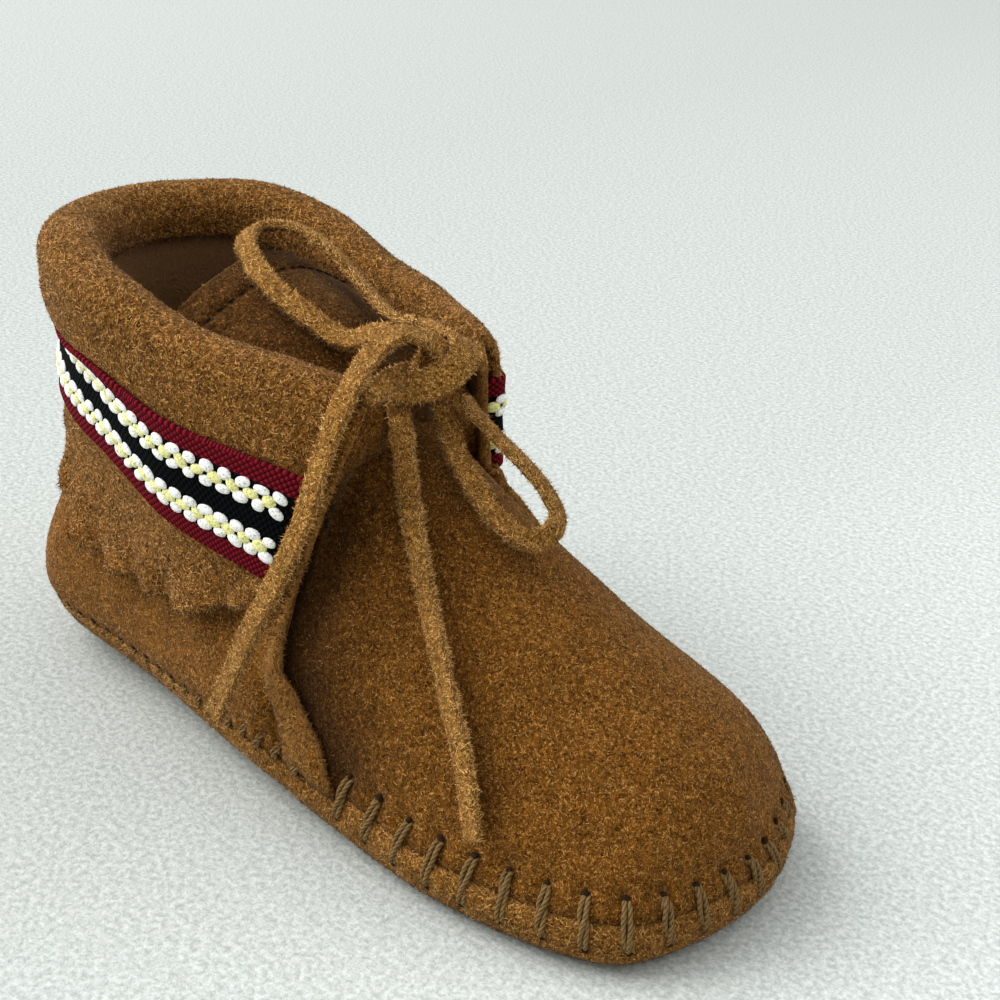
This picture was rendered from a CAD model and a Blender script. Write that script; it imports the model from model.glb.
"""Looks of a toddler's moccasin bootie for the right foot, in soft brown suede.

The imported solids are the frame. Each sub-assembly is a class that holds its own sizes, builds its
meshes over the last and dresses them. Sizes are in millimetres in the last's own frame, X from heel to
toe and +Z up with the lateral side at -Y, and become metres in the row frame when a mesh is made.
"""

import logging
import math
from dataclasses import dataclass, field
from enum import Enum
from functools import reduce

import bpy
import numpy as np
from mathutils import Matrix, Vector


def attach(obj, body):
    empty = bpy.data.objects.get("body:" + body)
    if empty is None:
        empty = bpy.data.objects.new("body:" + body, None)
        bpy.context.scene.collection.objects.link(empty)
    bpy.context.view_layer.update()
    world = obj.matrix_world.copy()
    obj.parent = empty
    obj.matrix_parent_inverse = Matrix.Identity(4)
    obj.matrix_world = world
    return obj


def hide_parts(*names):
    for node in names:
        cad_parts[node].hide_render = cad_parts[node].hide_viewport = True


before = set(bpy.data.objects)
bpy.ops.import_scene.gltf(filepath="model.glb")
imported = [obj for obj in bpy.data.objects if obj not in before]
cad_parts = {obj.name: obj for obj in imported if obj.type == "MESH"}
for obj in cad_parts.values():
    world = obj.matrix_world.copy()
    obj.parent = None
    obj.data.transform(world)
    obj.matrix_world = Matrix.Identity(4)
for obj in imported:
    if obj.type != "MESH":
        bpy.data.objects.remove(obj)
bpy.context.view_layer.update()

Array = np.ndarray
Colour = tuple[float, float, float]
Pair = tuple[float, float]
Route = tuple[tuple[float, float, float], ...]
Table = tuple[tuple[float, ...], ...]
Material, Socket, Thing = bpy.types.Material, bpy.types.NodeSocket, bpy.types.Object

MM = 0.001
BODY = "root"
ROW_SHIFT = np.array((-70.9825, -0.1489, 0.0))  # from the last's frame to the row frame
LOG = logging.getLogger("bootie")


# ---- small tools


def smooth_step(value: Array | float) -> Array:
    """Ease from 0 to 1 as value goes from 0 to 1."""
    value = np.clip(value, 0.0, 1.0)
    return value * value * (3.0 - 2.0 * value)


def between(value: Array | float, start: float, stop: float) -> Array:
    """Ease from 0 at start to 1 at stop."""
    return smooth_step((np.asarray(value, float) - start) / (stop - start))


def unit(vectors: Array) -> Array:
    """Vectors scaled to length 1."""
    return vectors / np.maximum(np.linalg.norm(vectors, axis=-1, keepdims=True), 1e-12)


def cloud(points: Array, size: float, seed: int = 0) -> Array:
    """Soft noise from -1 to 1.

    Args:
        points: places, with x, y, z last.
        size: width of the noise's lumps, in the points' own unit.
        seed: picks another pattern.

    Returns:
        One value for each place.
    """
    place = np.asarray(points, float) / size
    cell = np.floor(place).astype(np.int64)
    inside = smooth_step(place - cell)
    total = np.zeros(place.shape[:-1])
    for corner in range(8):
        step = np.array([(corner >> axis) & 1 for axis in range(3)])
        at = cell + step
        mixed = at[..., 0] * 73856093 ^ at[..., 1] * 19349663 ^ at[..., 2] * 83492791 ^ (seed * 26544357)
        mixed = (mixed ^ (mixed >> 13)) & 0x7FFFFFFF
        mixed = (mixed * ((mixed * mixed * 15731 + 789221) & 0x7FFFFFFF) + 1376312589) & 0x7FFFFFFF
        weight = np.prod(np.where(step, inside, 1.0 - inside), axis=-1)
        total += weight * (1.0 - mixed / 1073741824.0)
    return total


@dataclass(frozen=True)
class Lump:
    """A layer of soft noise: how wide its lumps are, how high, and which pattern."""

    wide: float
    high: float
    seed: int


def layered(points: Array, layers: tuple[Lump, ...], seed: int = 0) -> Array:
    """Layers of soft noise added up, with the seed added to each layer's own."""
    return sum(layer.high * cloud(points, layer.wide, layer.seed + seed) for layer in layers)


@dataclass(frozen=True)
class Ridge:
    """A soft ridge across a value: where, how wide and how high. It is a groove where high is negative."""

    at: float
    wide: float
    high: float

    def over(self, value: Array) -> Array:
        """Its height at values."""
        return self.high * np.exp(-(((value - self.at) / self.wide) ** 2))


@dataclass(frozen=True)
class Fade:
    """A mark that is strongest at some points and fades over a width."""

    strong: float
    wide: float

    def near(self, points: Array, centres: Array) -> Array:
        """Its strength at points.

        Args:
            points: places, with x, y, z last.
            centres: the points it is strongest at.

        Returns:
            One value for each place.
        """
        flat = points.reshape(-1, 3)
        squares = np.full(len(flat), np.inf)
        for centre in centres:
            squares = np.minimum(squares, np.sum((flat - centre) ** 2, axis=-1))
        return self.strong * np.exp(-squares / self.wide**2).reshape(points.shape[:-1])


def closed_spline(values: Array, at: Array) -> Array:
    """Read a closed curve with continuous curvature.

    Args:
        values: a row for each knot, one knot apart.
        at: places along the curve, in knots.

    Returns:
        The curve's values at those places.
    """
    count = len(values)
    system = 4.0 * np.eye(count) + np.roll(np.eye(count), 1, 0) + np.roll(np.eye(count), -1, 0)
    bends = np.linalg.solve(system, 6.0 * (np.roll(values, 1, 0) - 2.0 * values + np.roll(values, -1, 0)))
    at = np.mod(at, count)
    knot = np.floor(at).astype(int) % count
    after = (knot + 1) % count
    t = (at - np.floor(at))[..., None]
    near, far = 1.0 - t, t
    return (
        near * values[knot]
        + far * values[after]
        + ((near**3 - near) * bends[knot] + (far**3 - far) * bends[after]) / 6.0
    )


def steady_curve(places: Array, values: Array, at: Array) -> Array:
    """Read a curve that never overshoots its values.

    Args:
        places: where the values stand, rising.
        values: a row for each place and a column for each quantity.
        at: places to read at.

    Returns:
        The quantities at those places, last.
    """
    step = np.diff(places)[:, None]
    slope = np.diff(values, axis=0) / step
    same_way = slope[1:] * slope[:-1] > 0.0
    mean = 2.0 * slope[1:] * slope[:-1] / np.where(same_way, slope[1:] + slope[:-1], 1.0)
    tangent = np.vstack([slope[:1], np.where(same_way, mean, 0.0), slope[-1:]])
    at = np.clip(at, places[0], places[-1])
    left = np.clip(np.searchsorted(places, at, side="right") - 1, 0, len(places) - 2)
    wide = step[left]
    t = ((at - places[left])[..., None]) / wide
    return (
        values[left] * (1.0 + 2.0 * t) * (1.0 - t) ** 2
        + values[left + 1] * (3.0 - 2.0 * t) * t**2
        + tangent[left] * wide * t * (1.0 - t) ** 2
        - tangent[left + 1] * wide * t**2 * (1.0 - t)
    )


def table_curve(table: Table, at: Array) -> Array:
    """Read a table's other columns as curves of its first."""
    rows = np.array(table, float)
    return steady_curve(rows[:, 0], rows[:, 1:], np.asarray(at, float))


def distances(points: Array) -> Array:
    """Distance along a line of points, from the first to each."""
    return np.concatenate([[0.0], np.cumsum(np.linalg.norm(np.diff(points, axis=0), axis=1))])


def smooth_route(route: Route, spacing: float) -> Array:
    """Points along a smooth curve through a route.

    Args:
        route: points in millimetres.
        spacing: distance between the points that come back.

    Returns:
        Points evenly spaced along the curve.
    """
    ends = np.array(route, float)
    padded = np.vstack([2 * ends[0] - ends[1], ends, 2 * ends[-1] - ends[-2]])
    fine, steps = [], 24
    for i in range(1, len(padded) - 2):
        a, b, c, d = padded[i - 1 : i + 3]
        for t in np.arange(steps) / steps:
            bend = (2 * a - 5 * b + 4 * c - d) * t**2 + (3 * b - a - 3 * c + d) * t**3
            fine.append(0.5 * (2 * b + (c - a) * t + bend))
    fine = np.array(fine + [ends[-1]])
    reach = distances(fine)
    even = np.linspace(0.0, reach[-1], max(2, round(reach[-1] / spacing)) + 1)
    return np.stack([np.interp(even, reach, fine[:, axis]) for axis in range(3)], -1)


def path_length(points: Array) -> float:
    """Length of a line through points."""
    return float(np.linalg.norm(np.diff(points, axis=0), axis=1).sum())


# ---- meshes


@dataclass
class Surface:
    """A mesh in the making, in millimetres in the last's frame.

    Attributes:
        points: corners, one row each.
        faces: rows of four corners; a triangle repeats its last corner.
        marks: values painted on the corners, by name.
        uv: optional pair for each corner, in millimetres.
        normals: optional shading normal for each corner.
    """

    points: Array
    faces: Array
    marks: dict[str, Array] = field(default_factory=dict)
    uv: Array | None = None
    normals: Array | None = None

    def joined(self, other: "Surface") -> "Surface":
        """This surface and another as one.

        Args:
            other: the other one; a mark that one of them lacks is 0 on it.

        Returns:
            Both, with the uv where both have one and without shading normals.
        """
        marks = {
            name: np.concatenate([s.marks.get(name, np.zeros(len(s.points))) for s in (self, other)])
            for name in dict.fromkeys([*self.marks, *other.marks])
        }
        uv = None
        if self.uv is not None and other.uv is not None:
            uv = np.concatenate([self.uv, other.uv])
        faces = np.concatenate([self.faces, other.faces + len(self.points)])
        return Surface(np.concatenate([self.points, other.points]), faces, marks, uv)

    def place(self, name: str, material: Material, slot: str) -> Thing:
        """Make the object.

        Args:
            name: the piece's name.
            material: its finish.
            slot: the record's material slot it takes its finish from.

        Returns:
            The object, riding on the shoe.
        """
        corners = (self.points + ROW_SHIFT) * MM
        faces = [tuple(dict.fromkeys(face)) for face in self.faces.tolist()]
        mesh = bpy.data.meshes.new(name)
        mesh.from_pydata(corners.tolist(), [], [face for face in faces if len(face) > 2])
        for mark, values in self.marks.items():
            layer = mesh.attributes.new(mark, "FLOAT", "POINT")
            layer.data.foreach_set("value", np.asarray(values, np.float32))
        if self.uv is not None:
            loops = np.zeros(len(mesh.loops), int)
            mesh.loops.foreach_get("vertex_index", loops)
            layer = mesh.uv_layers.new(name="weave")
            layer.data.foreach_set("uv", (self.uv[loops] * MM).astype(np.float32).ravel())
        mesh.shade_smooth()
        if self.normals is not None:
            mesh.normals_split_custom_set_from_vertices(self.normals.tolist())
        mesh.materials.append(material)
        thing = bpy.data.objects.new(name, mesh)
        bpy.context.scene.collection.objects.link(thing)
        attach(thing, BODY)
        return thing


def as_one(surfaces: list[Surface]) -> Surface:
    """Several surfaces as one."""
    return reduce(Surface.joined, surfaces)


def grid_faces(columns: int, rows: int, closed: bool = False) -> Array:
    """Quads of a grid whose points run up each column in turn.

    Args:
        columns: how many columns it has.
        rows: how many points a column has.
        closed: whether its last column meets its first.

    Returns:
        Rows of four corners.
    """
    last = columns if closed else columns - 1
    c, r = np.meshgrid(np.arange(last), np.arange(rows - 1), indexing="ij")
    a, b = c * rows + r, (c + 1) % columns * rows + r
    return np.stack([a, b, b + 1, a + 1], -1).reshape(-1, 4)


def tube_faces(rings: int, around: int) -> Array:
    """Quads of a tube whose points run round each ring in turn.

    Args:
        rings: how many rings it has.
        around: how many points a ring has.

    Returns:
        Rows of four corners.
    """
    c, r = np.meshgrid(np.arange(rings - 1), np.arange(around), indexing="ij")
    a, b = c * around + r, c * around + (r + 1) % around
    return np.stack([a, b, b + around, a + around], -1).reshape(-1, 4)


def grid_normals(grid: Array, closed: bool = False) -> Array:
    """Unit normals of a grid.

    Args:
        grid: points (columns, rows, 3).
        closed: whether its last column meets its first.

    Returns:
        A normal for each point.
    """
    if closed:
        around = np.roll(grid, -1, 0) - np.roll(grid, 1, 0)
    else:
        around = np.gradient(grid, axis=0)
    return unit(np.cross(around, np.gradient(grid, axis=1)))


def border_loops(columns: int, rows: int, closed: bool) -> list[Array]:
    """Index loops round a grid's free edges.

    Args:
        columns: how many columns it has.
        rows: how many points a column has.
        closed: whether its last column meets its first, which leaves two edges.

    Returns:
        For each loop, its points and the point beside each toward the inside.
    """
    c, r = np.arange(columns), np.arange(rows)
    if closed:
        low, high = c * rows, c * rows + rows - 1
        return [np.stack([low, low + 1]), np.stack([high[::-1], high[::-1] - 1])]
    bottom = np.stack([c[:-1] * rows, c[:-1] * rows + 1])
    right = np.stack([(columns - 1) * rows + r[:-1], (columns - 2) * rows + r[:-1]])
    top = np.stack([c[:0:-1] * rows + rows - 1, c[:0:-1] * rows + rows - 2])
    left = np.stack([r[:0:-1], rows + r[:0:-1]])
    return [np.concatenate([bottom, right, top, left], axis=1)]


def leather_sheet(
    middle: Array, thick: Array | float, closed: bool = False, rim: int = 3, uv: Array | None = None
) -> Surface:
    """A sheet of leather round a grid of middle points, with rounded cut edges.

    Args:
        middle: points (columns, rows, 3) of the middle of its thickness.
        thick: its thickness, one value or one for each point.
        closed: whether its last column meets its first.
        rim: rows round the cut edge.
        uv: optional pairs for each point.

    Returns:
        The closed surface, with the mark cut at its cut edges.
    """
    columns, rows = middle.shape[:2]
    normal = grid_normals(middle, closed)
    half = np.broadcast_to(np.asarray(thick, float), (columns, rows))[..., None] / 2.0
    outer, inner = middle + normal * half, middle - normal * half
    count = columns * rows
    faces = [grid_faces(columns, rows, closed), grid_faces(columns, rows, closed)[:, ::-1] + count]
    points = [outer.reshape(-1, 3), inner.reshape(-1, 3)]
    cut, inner_side = [np.zeros(2 * count)], [np.repeat((0.0, 1.0), count)]
    flat_uv = None if uv is None else uv.reshape(-1, 2)
    pairs = [] if uv is None else [flat_uv, flat_uv]
    flat, across, depth = middle.reshape(-1, 3), normal.reshape(-1, 3), half.reshape(-1, 1)
    made = 2 * count
    for loop, beside in border_loops(columns, rows, closed):
        length = len(loop)
        away = unit(flat[loop] - flat[beside])
        away = unit(away - across[loop] * np.sum(away * across[loop], -1, keepdims=True))
        previous = loop
        for step in range(1, rim + 1):
            angle = math.pi * step / (rim + 1)
            ring = across[loop] * math.cos(angle) + away * math.sin(angle)
            points.append(flat[loop] + ring * depth[loop])
            cut.append(np.full(length, math.sin(angle)))
            inner_side.append(np.zeros(length))
            if uv is not None:
                pairs.append(flat_uv[loop])
            current = made + np.arange(length)
            faces.append(np.stack([previous, current, np.roll(current, -1), np.roll(previous, -1)], -1))
            previous, made = current, made + length
        behind = loop + count
        faces.append(np.stack([previous, behind, np.roll(behind, -1), np.roll(previous, -1)], -1))
    marks = {"cut": np.concatenate(cut), "inner": np.concatenate(inner_side)}
    pairs = np.concatenate(pairs) if pairs else None
    return Surface(np.concatenate(points), np.concatenate(faces), marks, pairs)


def swept(
    path: Array, facing: Array, wide: Array | float, thick: Array | float, around: int, square: float
) -> Surface:
    """A strap or thread swept along a path, with closed ends.

    Args:
        path: its middle line.
        facing: roughly the direction its broad face looks in, at each point.
        wide: its width, one value or one for each point.
        thick: its thickness, one value or one for each point.
        around: corners round its section.
        square: 2 makes the section an ellipse, more squares it.

    Returns:
        The closed surface, with uv along and across it and the mark cut on its narrow sides.
    """
    along = unit(np.gradient(path, axis=0))
    across = unit(np.cross(np.broadcast_to(facing, path.shape), along))
    up = np.cross(along, across)
    angle = np.linspace(0.0, 2.0 * math.pi, around, endpoint=False)
    c, s = np.cos(angle), np.sin(angle)
    side = np.sign(c) * np.abs(c) ** (2.0 / square)
    lift = np.sign(s) * np.abs(s) ** (2.0 / square)
    wide = np.broadcast_to(np.asarray(wide, float), len(path))[:, None, None] / 2.0
    thick = np.broadcast_to(np.asarray(thick, float), len(path))[:, None, None] / 2.0
    ring = (
        path[:, None]
        + across[:, None] * side[None, :, None] * wide
        + up[:, None] * lift[None, :, None] * thick
    )
    count = len(path)
    points = np.concatenate([ring.reshape(-1, 3), path[:1], path[-1:]])
    caps, first_tip = [], count * around
    for start, tip, flip in ((0, first_tip, True), (first_tip - around, first_tip + 1, False)):
        here = start + np.arange(around)
        there = np.roll(here, -1)
        end = np.full(around, tip)
        caps.append(np.stack([there, here, end, end] if flip else [here, there, end, end], -1))
    reach = distances(path)
    uv = np.stack([np.repeat(reach, around), (side[None, :] * wide[:, :, 0]).reshape(-1)], -1)
    uv = np.concatenate([uv, [[0.0, 0.0], [reach[-1], 0.0]]])
    cut = np.concatenate([np.tile(np.abs(side) ** 4, count), [1.0, 1.0]])
    return Surface(points, np.concatenate([tube_faces(count, around), *caps]), {"cut": cut}, uv)


def ovals(
    centres: Array,
    along: Array,
    down: Array,
    size: tuple[float, float, float],
    seed: int,
    spread: float = 0.10,
) -> Surface:
    """Oval beads at places, each a little different.

    Args:
        centres: their middles.
        along: the direction of each one's length.
        down: roughly the direction across it.
        size: length, width and height.
        seed: picks their differences.
        spread: how much their sizes differ.

    Returns:
        The beads as one surface.
    """
    rng = np.random.default_rng(seed)
    count = len(centres)
    rings, around, blunt, tilts = 7, 10, 0.8, 2.2
    theta = np.linspace(0.0, math.pi, rings)[:, None]
    phi = np.linspace(0.0, 2.0 * math.pi, around, endpoint=False)[None, :]
    ball = (-np.cos(theta), np.sin(theta) ** blunt * np.cos(phi), np.sin(theta) * np.sin(phi))
    shape = np.stack(np.broadcast_arrays(*ball), -1).reshape(-1, 3)
    sizes = np.array(size) / 2.0 * (1.0 + spread * rng.standard_normal((count, 3)))
    across = unit(down - along * np.sum(down * along, -1, keepdims=True))
    up = np.cross(across, along)
    tilt = tilts * spread * rng.standard_normal((count, 1))
    c, s = np.cos(tilt), np.sin(tilt)
    axes = np.stack([along * c + across * s, across * c - along * s, up], 1)
    points = centres[:, None] + (shape[None] * sizes[:, None]) @ axes
    block = tube_faces(rings, around)
    faces = (block[None] + (np.arange(count) * rings * around)[:, None, None]).reshape(-1, 4)
    return Surface(points.reshape(-1, 3), faces)


# ---- finishes


def grey(value: float) -> Colour:
    """An even grey."""
    return (value, value, value)


class Graph:
    """A material's node tree, with short calls to add and join its nodes."""

    def __init__(self, name: str) -> None:
        """Start an empty material.

        Args:
            name: the material's name.
        """
        self.material = bpy.data.materials.new(name)
        self.material.use_nodes = True
        self.tree = self.material.node_tree
        self.shader = self.tree.nodes["Principled BSDF"]

    def node(self, kind: str, inputs: dict | None = None, **settings: object) -> bpy.types.Node:
        """Add a node.

        Args:
            kind: the node's type, without its ShaderNode prefix.
            inputs: sockets by name or number; a value that is a socket is linked.
            settings: the node's own properties.

        Returns:
            The node.
        """
        made = self.tree.nodes.new("ShaderNode" + kind)
        for key, value in settings.items():
            setattr(made, key, value)
        for key, value in (inputs or {}).items():
            self.put(made.inputs[key], value)
        return made

    def put(self, socket: Socket, value: object) -> None:
        """Link a socket, or set its value.

        Args:
            socket: an input.
            value: another node's output, or a plain value.
        """
        if isinstance(value, Socket):
            self.tree.links.new(value, socket)
        else:
            socket.default_value = value

    def math(self, kind: str, a: object, b: object = 0.0, clamp: bool = False) -> Socket:
        """The result of a Math node."""
        return self.node("Math", {0: a, 1: b}, operation=kind, use_clamp=clamp).outputs[0]

    def noise(self, vector: object, size: float, detail: float = 2.0, rough: float = 0.5,
              twist: float = 0.0) -> Socket:
        """Noise whose lumps are size millimetres wide."""
        inputs = {"Vector": vector, "Scale": 1.0 / (size * MM), "Detail": detail, "Roughness": rough}
        return self.node("TexNoise", {**inputs, "Distortion": twist}).outputs["Fac"]

    def ramp(self, value: object, stops: tuple[tuple[float, Colour], ...]) -> Socket:
        """Colours blended between stops.

        Args:
            value: what the colour follows.
            stops: places, rising, each with its colour.

        Returns:
            The colour.
        """
        made = self.node("ValToRGB", {"Fac": value})
        elements = made.color_ramp.elements
        for spare in range(len(stops) - len(elements)):
            elements.new(0.5 + 0.01 * spare)
        for element, (place, colour) in zip(elements, stops):
            element.position = place
            element.color = (*colour, 1.0)
        return made.outputs["Color"]

    def mix(self, share: object, a: object, b: object, kind: str = "MIX") -> Socket:
        """Two colours mixed.

        Args:
            share: how much of the second is used.
            a: the first colour.
            b: the second colour.
            kind: how they blend.

        Returns:
            The mixed colour.
        """
        made = self.node("Mix", data_type="RGBA", blend_type=kind)
        for socket, value in zip((made.inputs[0], made.inputs[6], made.inputs[7]), (share, a, b)):
            self.put(socket, (*value, 1.0) if isinstance(value, tuple) else value)
        return made.outputs[2]

    def waves(self, value: object, pitch: float) -> Socket:
        """A sine wave of a length in millimetres."""
        return self.math("SINE", self.math("MULTIPLY", value, 2.0 * math.pi / (pitch * MM)))

    def bump(self, height: object, depth: float, strength: float = 1.0,
             more: dict | None = None) -> Socket:
        """Normals raised by a height that is worth a depth in millimetres; more holds other inputs."""
        inputs = {"Strength": strength, "Distance": depth * MM, "Height": height, **(more or {})}
        return self.node("Bump", inputs).outputs["Normal"]

    def weave(self) -> tuple[Socket, Socket]:
        """The uv map's values.

        Returns:
            The value along, and the value across.
        """
        uv = self.node("UVMap", uv_map="weave").outputs["UV"]
        split = self.node("SeparateXYZ", {"Vector": uv})
        return split.outputs["X"], split.outputs["Y"]

    def mark(self, name: str) -> Socket:
        """A value painted on the mesh."""
        return self.node("Attribute", attribute_name=name).outputs["Fac"]

    def dress(self, inputs: dict[str, object]) -> Material:
        """Fill in the shader.

        Args:
            inputs: the shader's sockets by name, with what goes into them.

        Returns:
            The material.
        """
        for name, value in inputs.items():
            self.put(self.shader.inputs[name], value)
        return self.material


@dataclass(frozen=True)
class Suede:
    """Napped leather: short curled fibres in dark, middle and light browns over soft mottling.

    Attributes:
        dark, middle, light: colours of its fibres.
        fibre: width of a fibre's shade, in millimetres.
        nap: depth of the fibres, in millimetres.
        cut: colour of its raw cut edge.
        lined: colour of its smooth inner side.
        clump: width of the clumps its fibres lie in.
        clump_depth: depth of the clumps.
        mottle: width of its soft patches of tone.
        tones: factors on the colour, from low to high, of the patches and of the clumps.
        rough, shine: roughness and specular level.
        sheen, sheen_rough, sheen_tint: the pale sheen of its nap.
    """

    name: str
    dark: Colour = (0.042, 0.0140, 0.0018)
    middle: Colour = (0.172, 0.0720, 0.0092)
    light: Colour = (0.48, 0.262, 0.085)
    fibre: float = 0.5
    nap: float = 0.3
    cut: Colour = (0.30, 0.150, 0.040)
    lined: Colour = (0.40, 0.25, 0.13)
    clump: float = 1.5
    clump_depth: float = 0.35
    mottle: float = 7.0
    tones: Table = ((0.84, 1.14), (0.72, 1.22))
    rough: float = 0.95
    shine: float = 0.12
    sheen: float = 0.10
    sheen_rough: float = 0.45
    sheen_tint: Colour = (0.95, 0.80, 0.60)

    def dressed(self, graph: Graph, inputs: dict[str, object]) -> Material:
        """Fill in the shader of its body or of its fibres.

        Args:
            graph: the material's nodes.
            inputs: what isn't the same for both.

        Returns:
            The material.
        """
        same = {
            "Roughness": self.rough,
            "Specular IOR Level": self.shine,
            "Sheen Weight": self.sheen,
            "Sheen Roughness": self.sheen_rough,
            "Sheen Tint": (*self.sheen_tint, 1.0),
        }
        return graph.dress({**inputs, **same})

    def material(self) -> Material:
        """Build the material once.

        Returns:
            The finish of the leather's body.
        """
        if self.name in bpy.data.materials:
            return bpy.data.materials[self.name]
        graph = Graph(self.name)
        where = graph.node("TexCoord").outputs["Object"]
        curl = graph.noise(where, self.fibre * 1.5, 2.0, 0.6, 3.0)
        grit = graph.noise(where, self.fibre, 3.0, 0.65, 0.8)
        mixed = graph.math("ADD", graph.math("MULTIPLY", curl, 0.55), graph.math("MULTIPLY", grit, 0.45))
        stops = ((0.38, self.dark), (0.47, self.middle), (0.54, self.middle), (0.64, self.light))
        colour = graph.ramp(mixed, stops)
        patches = graph.noise(where, self.mottle, 5.0, 0.62)
        clumps = graph.noise(where, self.clump, 2.0, 0.5, 1.8)
        for lumps, ends, (low, high) in zip((patches, clumps), ((0.30, 0.70), (0.36, 0.62)), self.tones):
            tone = graph.ramp(lumps, ((ends[0], grey(low)), (ends[1], grey(high))))
            colour = graph.mix(1.0, colour, tone, "MULTIPLY")
        colour = graph.mix(graph.math("MULTIPLY", graph.mark("cut"), 0.5), colour, self.cut)
        colour = graph.mix(graph.math("MULTIPLY", graph.mark("lined"), 0.55), colour, self.lined)
        clean = graph.math("SUBTRACT", 1.0, graph.math("MULTIPLY", graph.mark("soil"), 0.65))
        shade = graph.ramp(clean, ((0.0, grey(0.0)), (1.0, grey(1.0))))
        colour = graph.mix(1.0, colour, shade, "MULTIPLY")
        normal = graph.bump(mixed, self.nap, more={"Normal": graph.bump(clumps, self.clump_depth)})
        return self.dressed(graph, {"Base Color": colour, "Normal": normal})

    def fibres(self) -> Material:
        """Build the material of its loose fibres once.

        Returns:
            A finish that goes from dark to light by the mark tint.
        """
        name = self.name + "_fibres"
        if name in bpy.data.materials:
            return bpy.data.materials[name]
        graph = Graph(name)
        stops = ((0.0, self.dark), (0.4, self.middle), (1.0, self.light))
        return self.dressed(graph, {"Base Color": graph.ramp(graph.mark("tint"), stops)})


@dataclass(frozen=True)
class Yarn:
    """Plied or floated yarn: one colour with fine hairs, and twist lines where it has a twist.

    Attributes:
        colour: its middle tone.
        ply: width of its hairs.
        twist: length of one turn along it, or 0.
        slant: how steeply the twist lines run.
        dark, light: factors on the colour in its hollows and on its hairs.
    """

    name: str
    colour: Colour
    ply: float = 0.35
    rough: float = 0.6
    twist: float = 0.0
    slant: float = 1.7
    dark: float = 0.35
    light: float = 1.25

    def material(self) -> Material:
        """Build the material once.

        Returns:
            The finish.
        """
        if self.name in bpy.data.materials:
            return bpy.data.materials[self.name]
        graph = Graph(self.name)
        where = graph.node("TexCoord").outputs["Object"]
        hairs = graph.noise(where, self.ply, 4.0, 0.6, 0.8)
        if self.twist:
            u, v = graph.weave()
            turns = graph.waves(graph.math("ADD", u, graph.math("MULTIPLY", v, self.slant)), self.twist)
            hairs = graph.math("ADD", graph.math("MULTIPLY", turns, 0.16), hairs)
        dark = tuple(self.dark * channel for channel in self.colour)
        light = tuple(min(1.0, self.light * channel) for channel in self.colour)
        return graph.dress({
            "Base Color": graph.ramp(hairs, ((0.32, dark), (0.5, self.colour), (0.72, light))),
            "Normal": graph.bump(hairs, 0.15, 0.7),
            "Roughness": self.rough,
            "Specular IOR Level": 0.3,
        })


@dataclass(frozen=True)
class BraidGround:
    """The braid's woven ground: red edges in small lozenges and a black middle in fine ribs.

    Its bands follow the uv map's second value, which runs across the braid.
    """

    red: Colour = (0.205, 0.012, 0.022)
    deep_red: Colour = (0.035, 0.003, 0.006)
    black: Colour = (0.0012, 0.0016, 0.0020)
    grey: Colour = (0.0065, 0.008, 0.009)
    edge_band: float = 3.1
    width: float = 18.4
    lozenge: float = 2.3
    rib_along: float = 1.1
    rib_across: float = 1.5

    def material(self) -> Material:
        """Build the material.

        Returns:
            The finish.
        """
        graph = Graph("braid_ground")
        u, v = graph.weave()
        slant = graph.waves(graph.math("ADD", u, v), self.lozenge)
        counter = graph.waves(graph.math("SUBTRACT", u, v), self.lozenge)
        lozenge = graph.math("ABSOLUTE", graph.math("MULTIPLY", slant, counter))
        red = graph.ramp(lozenge, ((0.08, self.deep_red), (0.34, self.red), (1.0, self.red)))
        rib = graph.math("MULTIPLY", graph.waves(u, self.rib_along), graph.waves(v, self.rib_across))
        rib = graph.math("MULTIPLY_ADD", rib, 0.5)
        rib.node.inputs[2].default_value = 0.5
        black = graph.ramp(rib, ((0.2, self.black), (0.9, self.grey)))
        half = self.width / 2.0 * MM
        from_edge = graph.math("SUBTRACT", half, graph.math("ABSOLUTE", graph.math("SUBTRACT", v, half)))
        in_red = graph.math("LESS_THAN", from_edge, self.edge_band * MM)
        in_black = graph.math("SUBTRACT", 1.0, in_red)
        lozenges, ribs = graph.math("MULTIPLY", in_red, lozenge), graph.math("MULTIPLY", in_black, rib)
        height = graph.math("ADD", lozenges, ribs)
        return graph.dress({
            "Base Color": graph.mix(in_red, black, red),
            "Normal": graph.bump(height, 0.4),
            "Roughness": 0.85,
            "Specular IOR Level": 0.06,
        })


@dataclass(frozen=True)
class FloorPaint:
    """A pale plain floor with a faint grain, and a paler tone beyond the toe.

    Its tones are factors on the colour, by place from tone_from to tone_to along x.
    """

    low: Colour = (0.445, 0.469, 0.441)
    high: Colour = (0.698, 0.725, 0.692)
    grain: float = 1.1
    tone_from: float = -300.0
    tone_to: float = 110.0
    tones: Table = ((0.0, 0.76), (0.70, 0.83), (1.0, 1.0))

    def material(self) -> Material:
        """Build the material.

        Returns:
            The finish.
        """
        graph = Graph("pale_floor")
        where = graph.node("TexCoord").outputs["Object"]
        grain = graph.noise(where, self.grain, 3.0, 0.75, 0.2)
        colour = graph.ramp(grain, ((0.34, self.low), (0.66, self.high)))
        along = graph.node("SeparateXYZ", {"Vector": where}).outputs["X"]
        limits = {"Value": along, "From Min": self.tone_from * MM, "From Max": self.tone_to * MM}
        stops = tuple((place, grey(value)) for place, value in self.tones)
        tone = graph.ramp(graph.node("MapRange", limits).outputs["Result"], stops)
        return graph.dress({
            "Base Color": graph.mix(1.0, colour, tone, "MULTIPLY"),
            "Normal": graph.bump(grain, 0.3, 0.6),
            "Roughness": 1.0,
            "Specular IOR Level": 0.0,
        })


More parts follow.
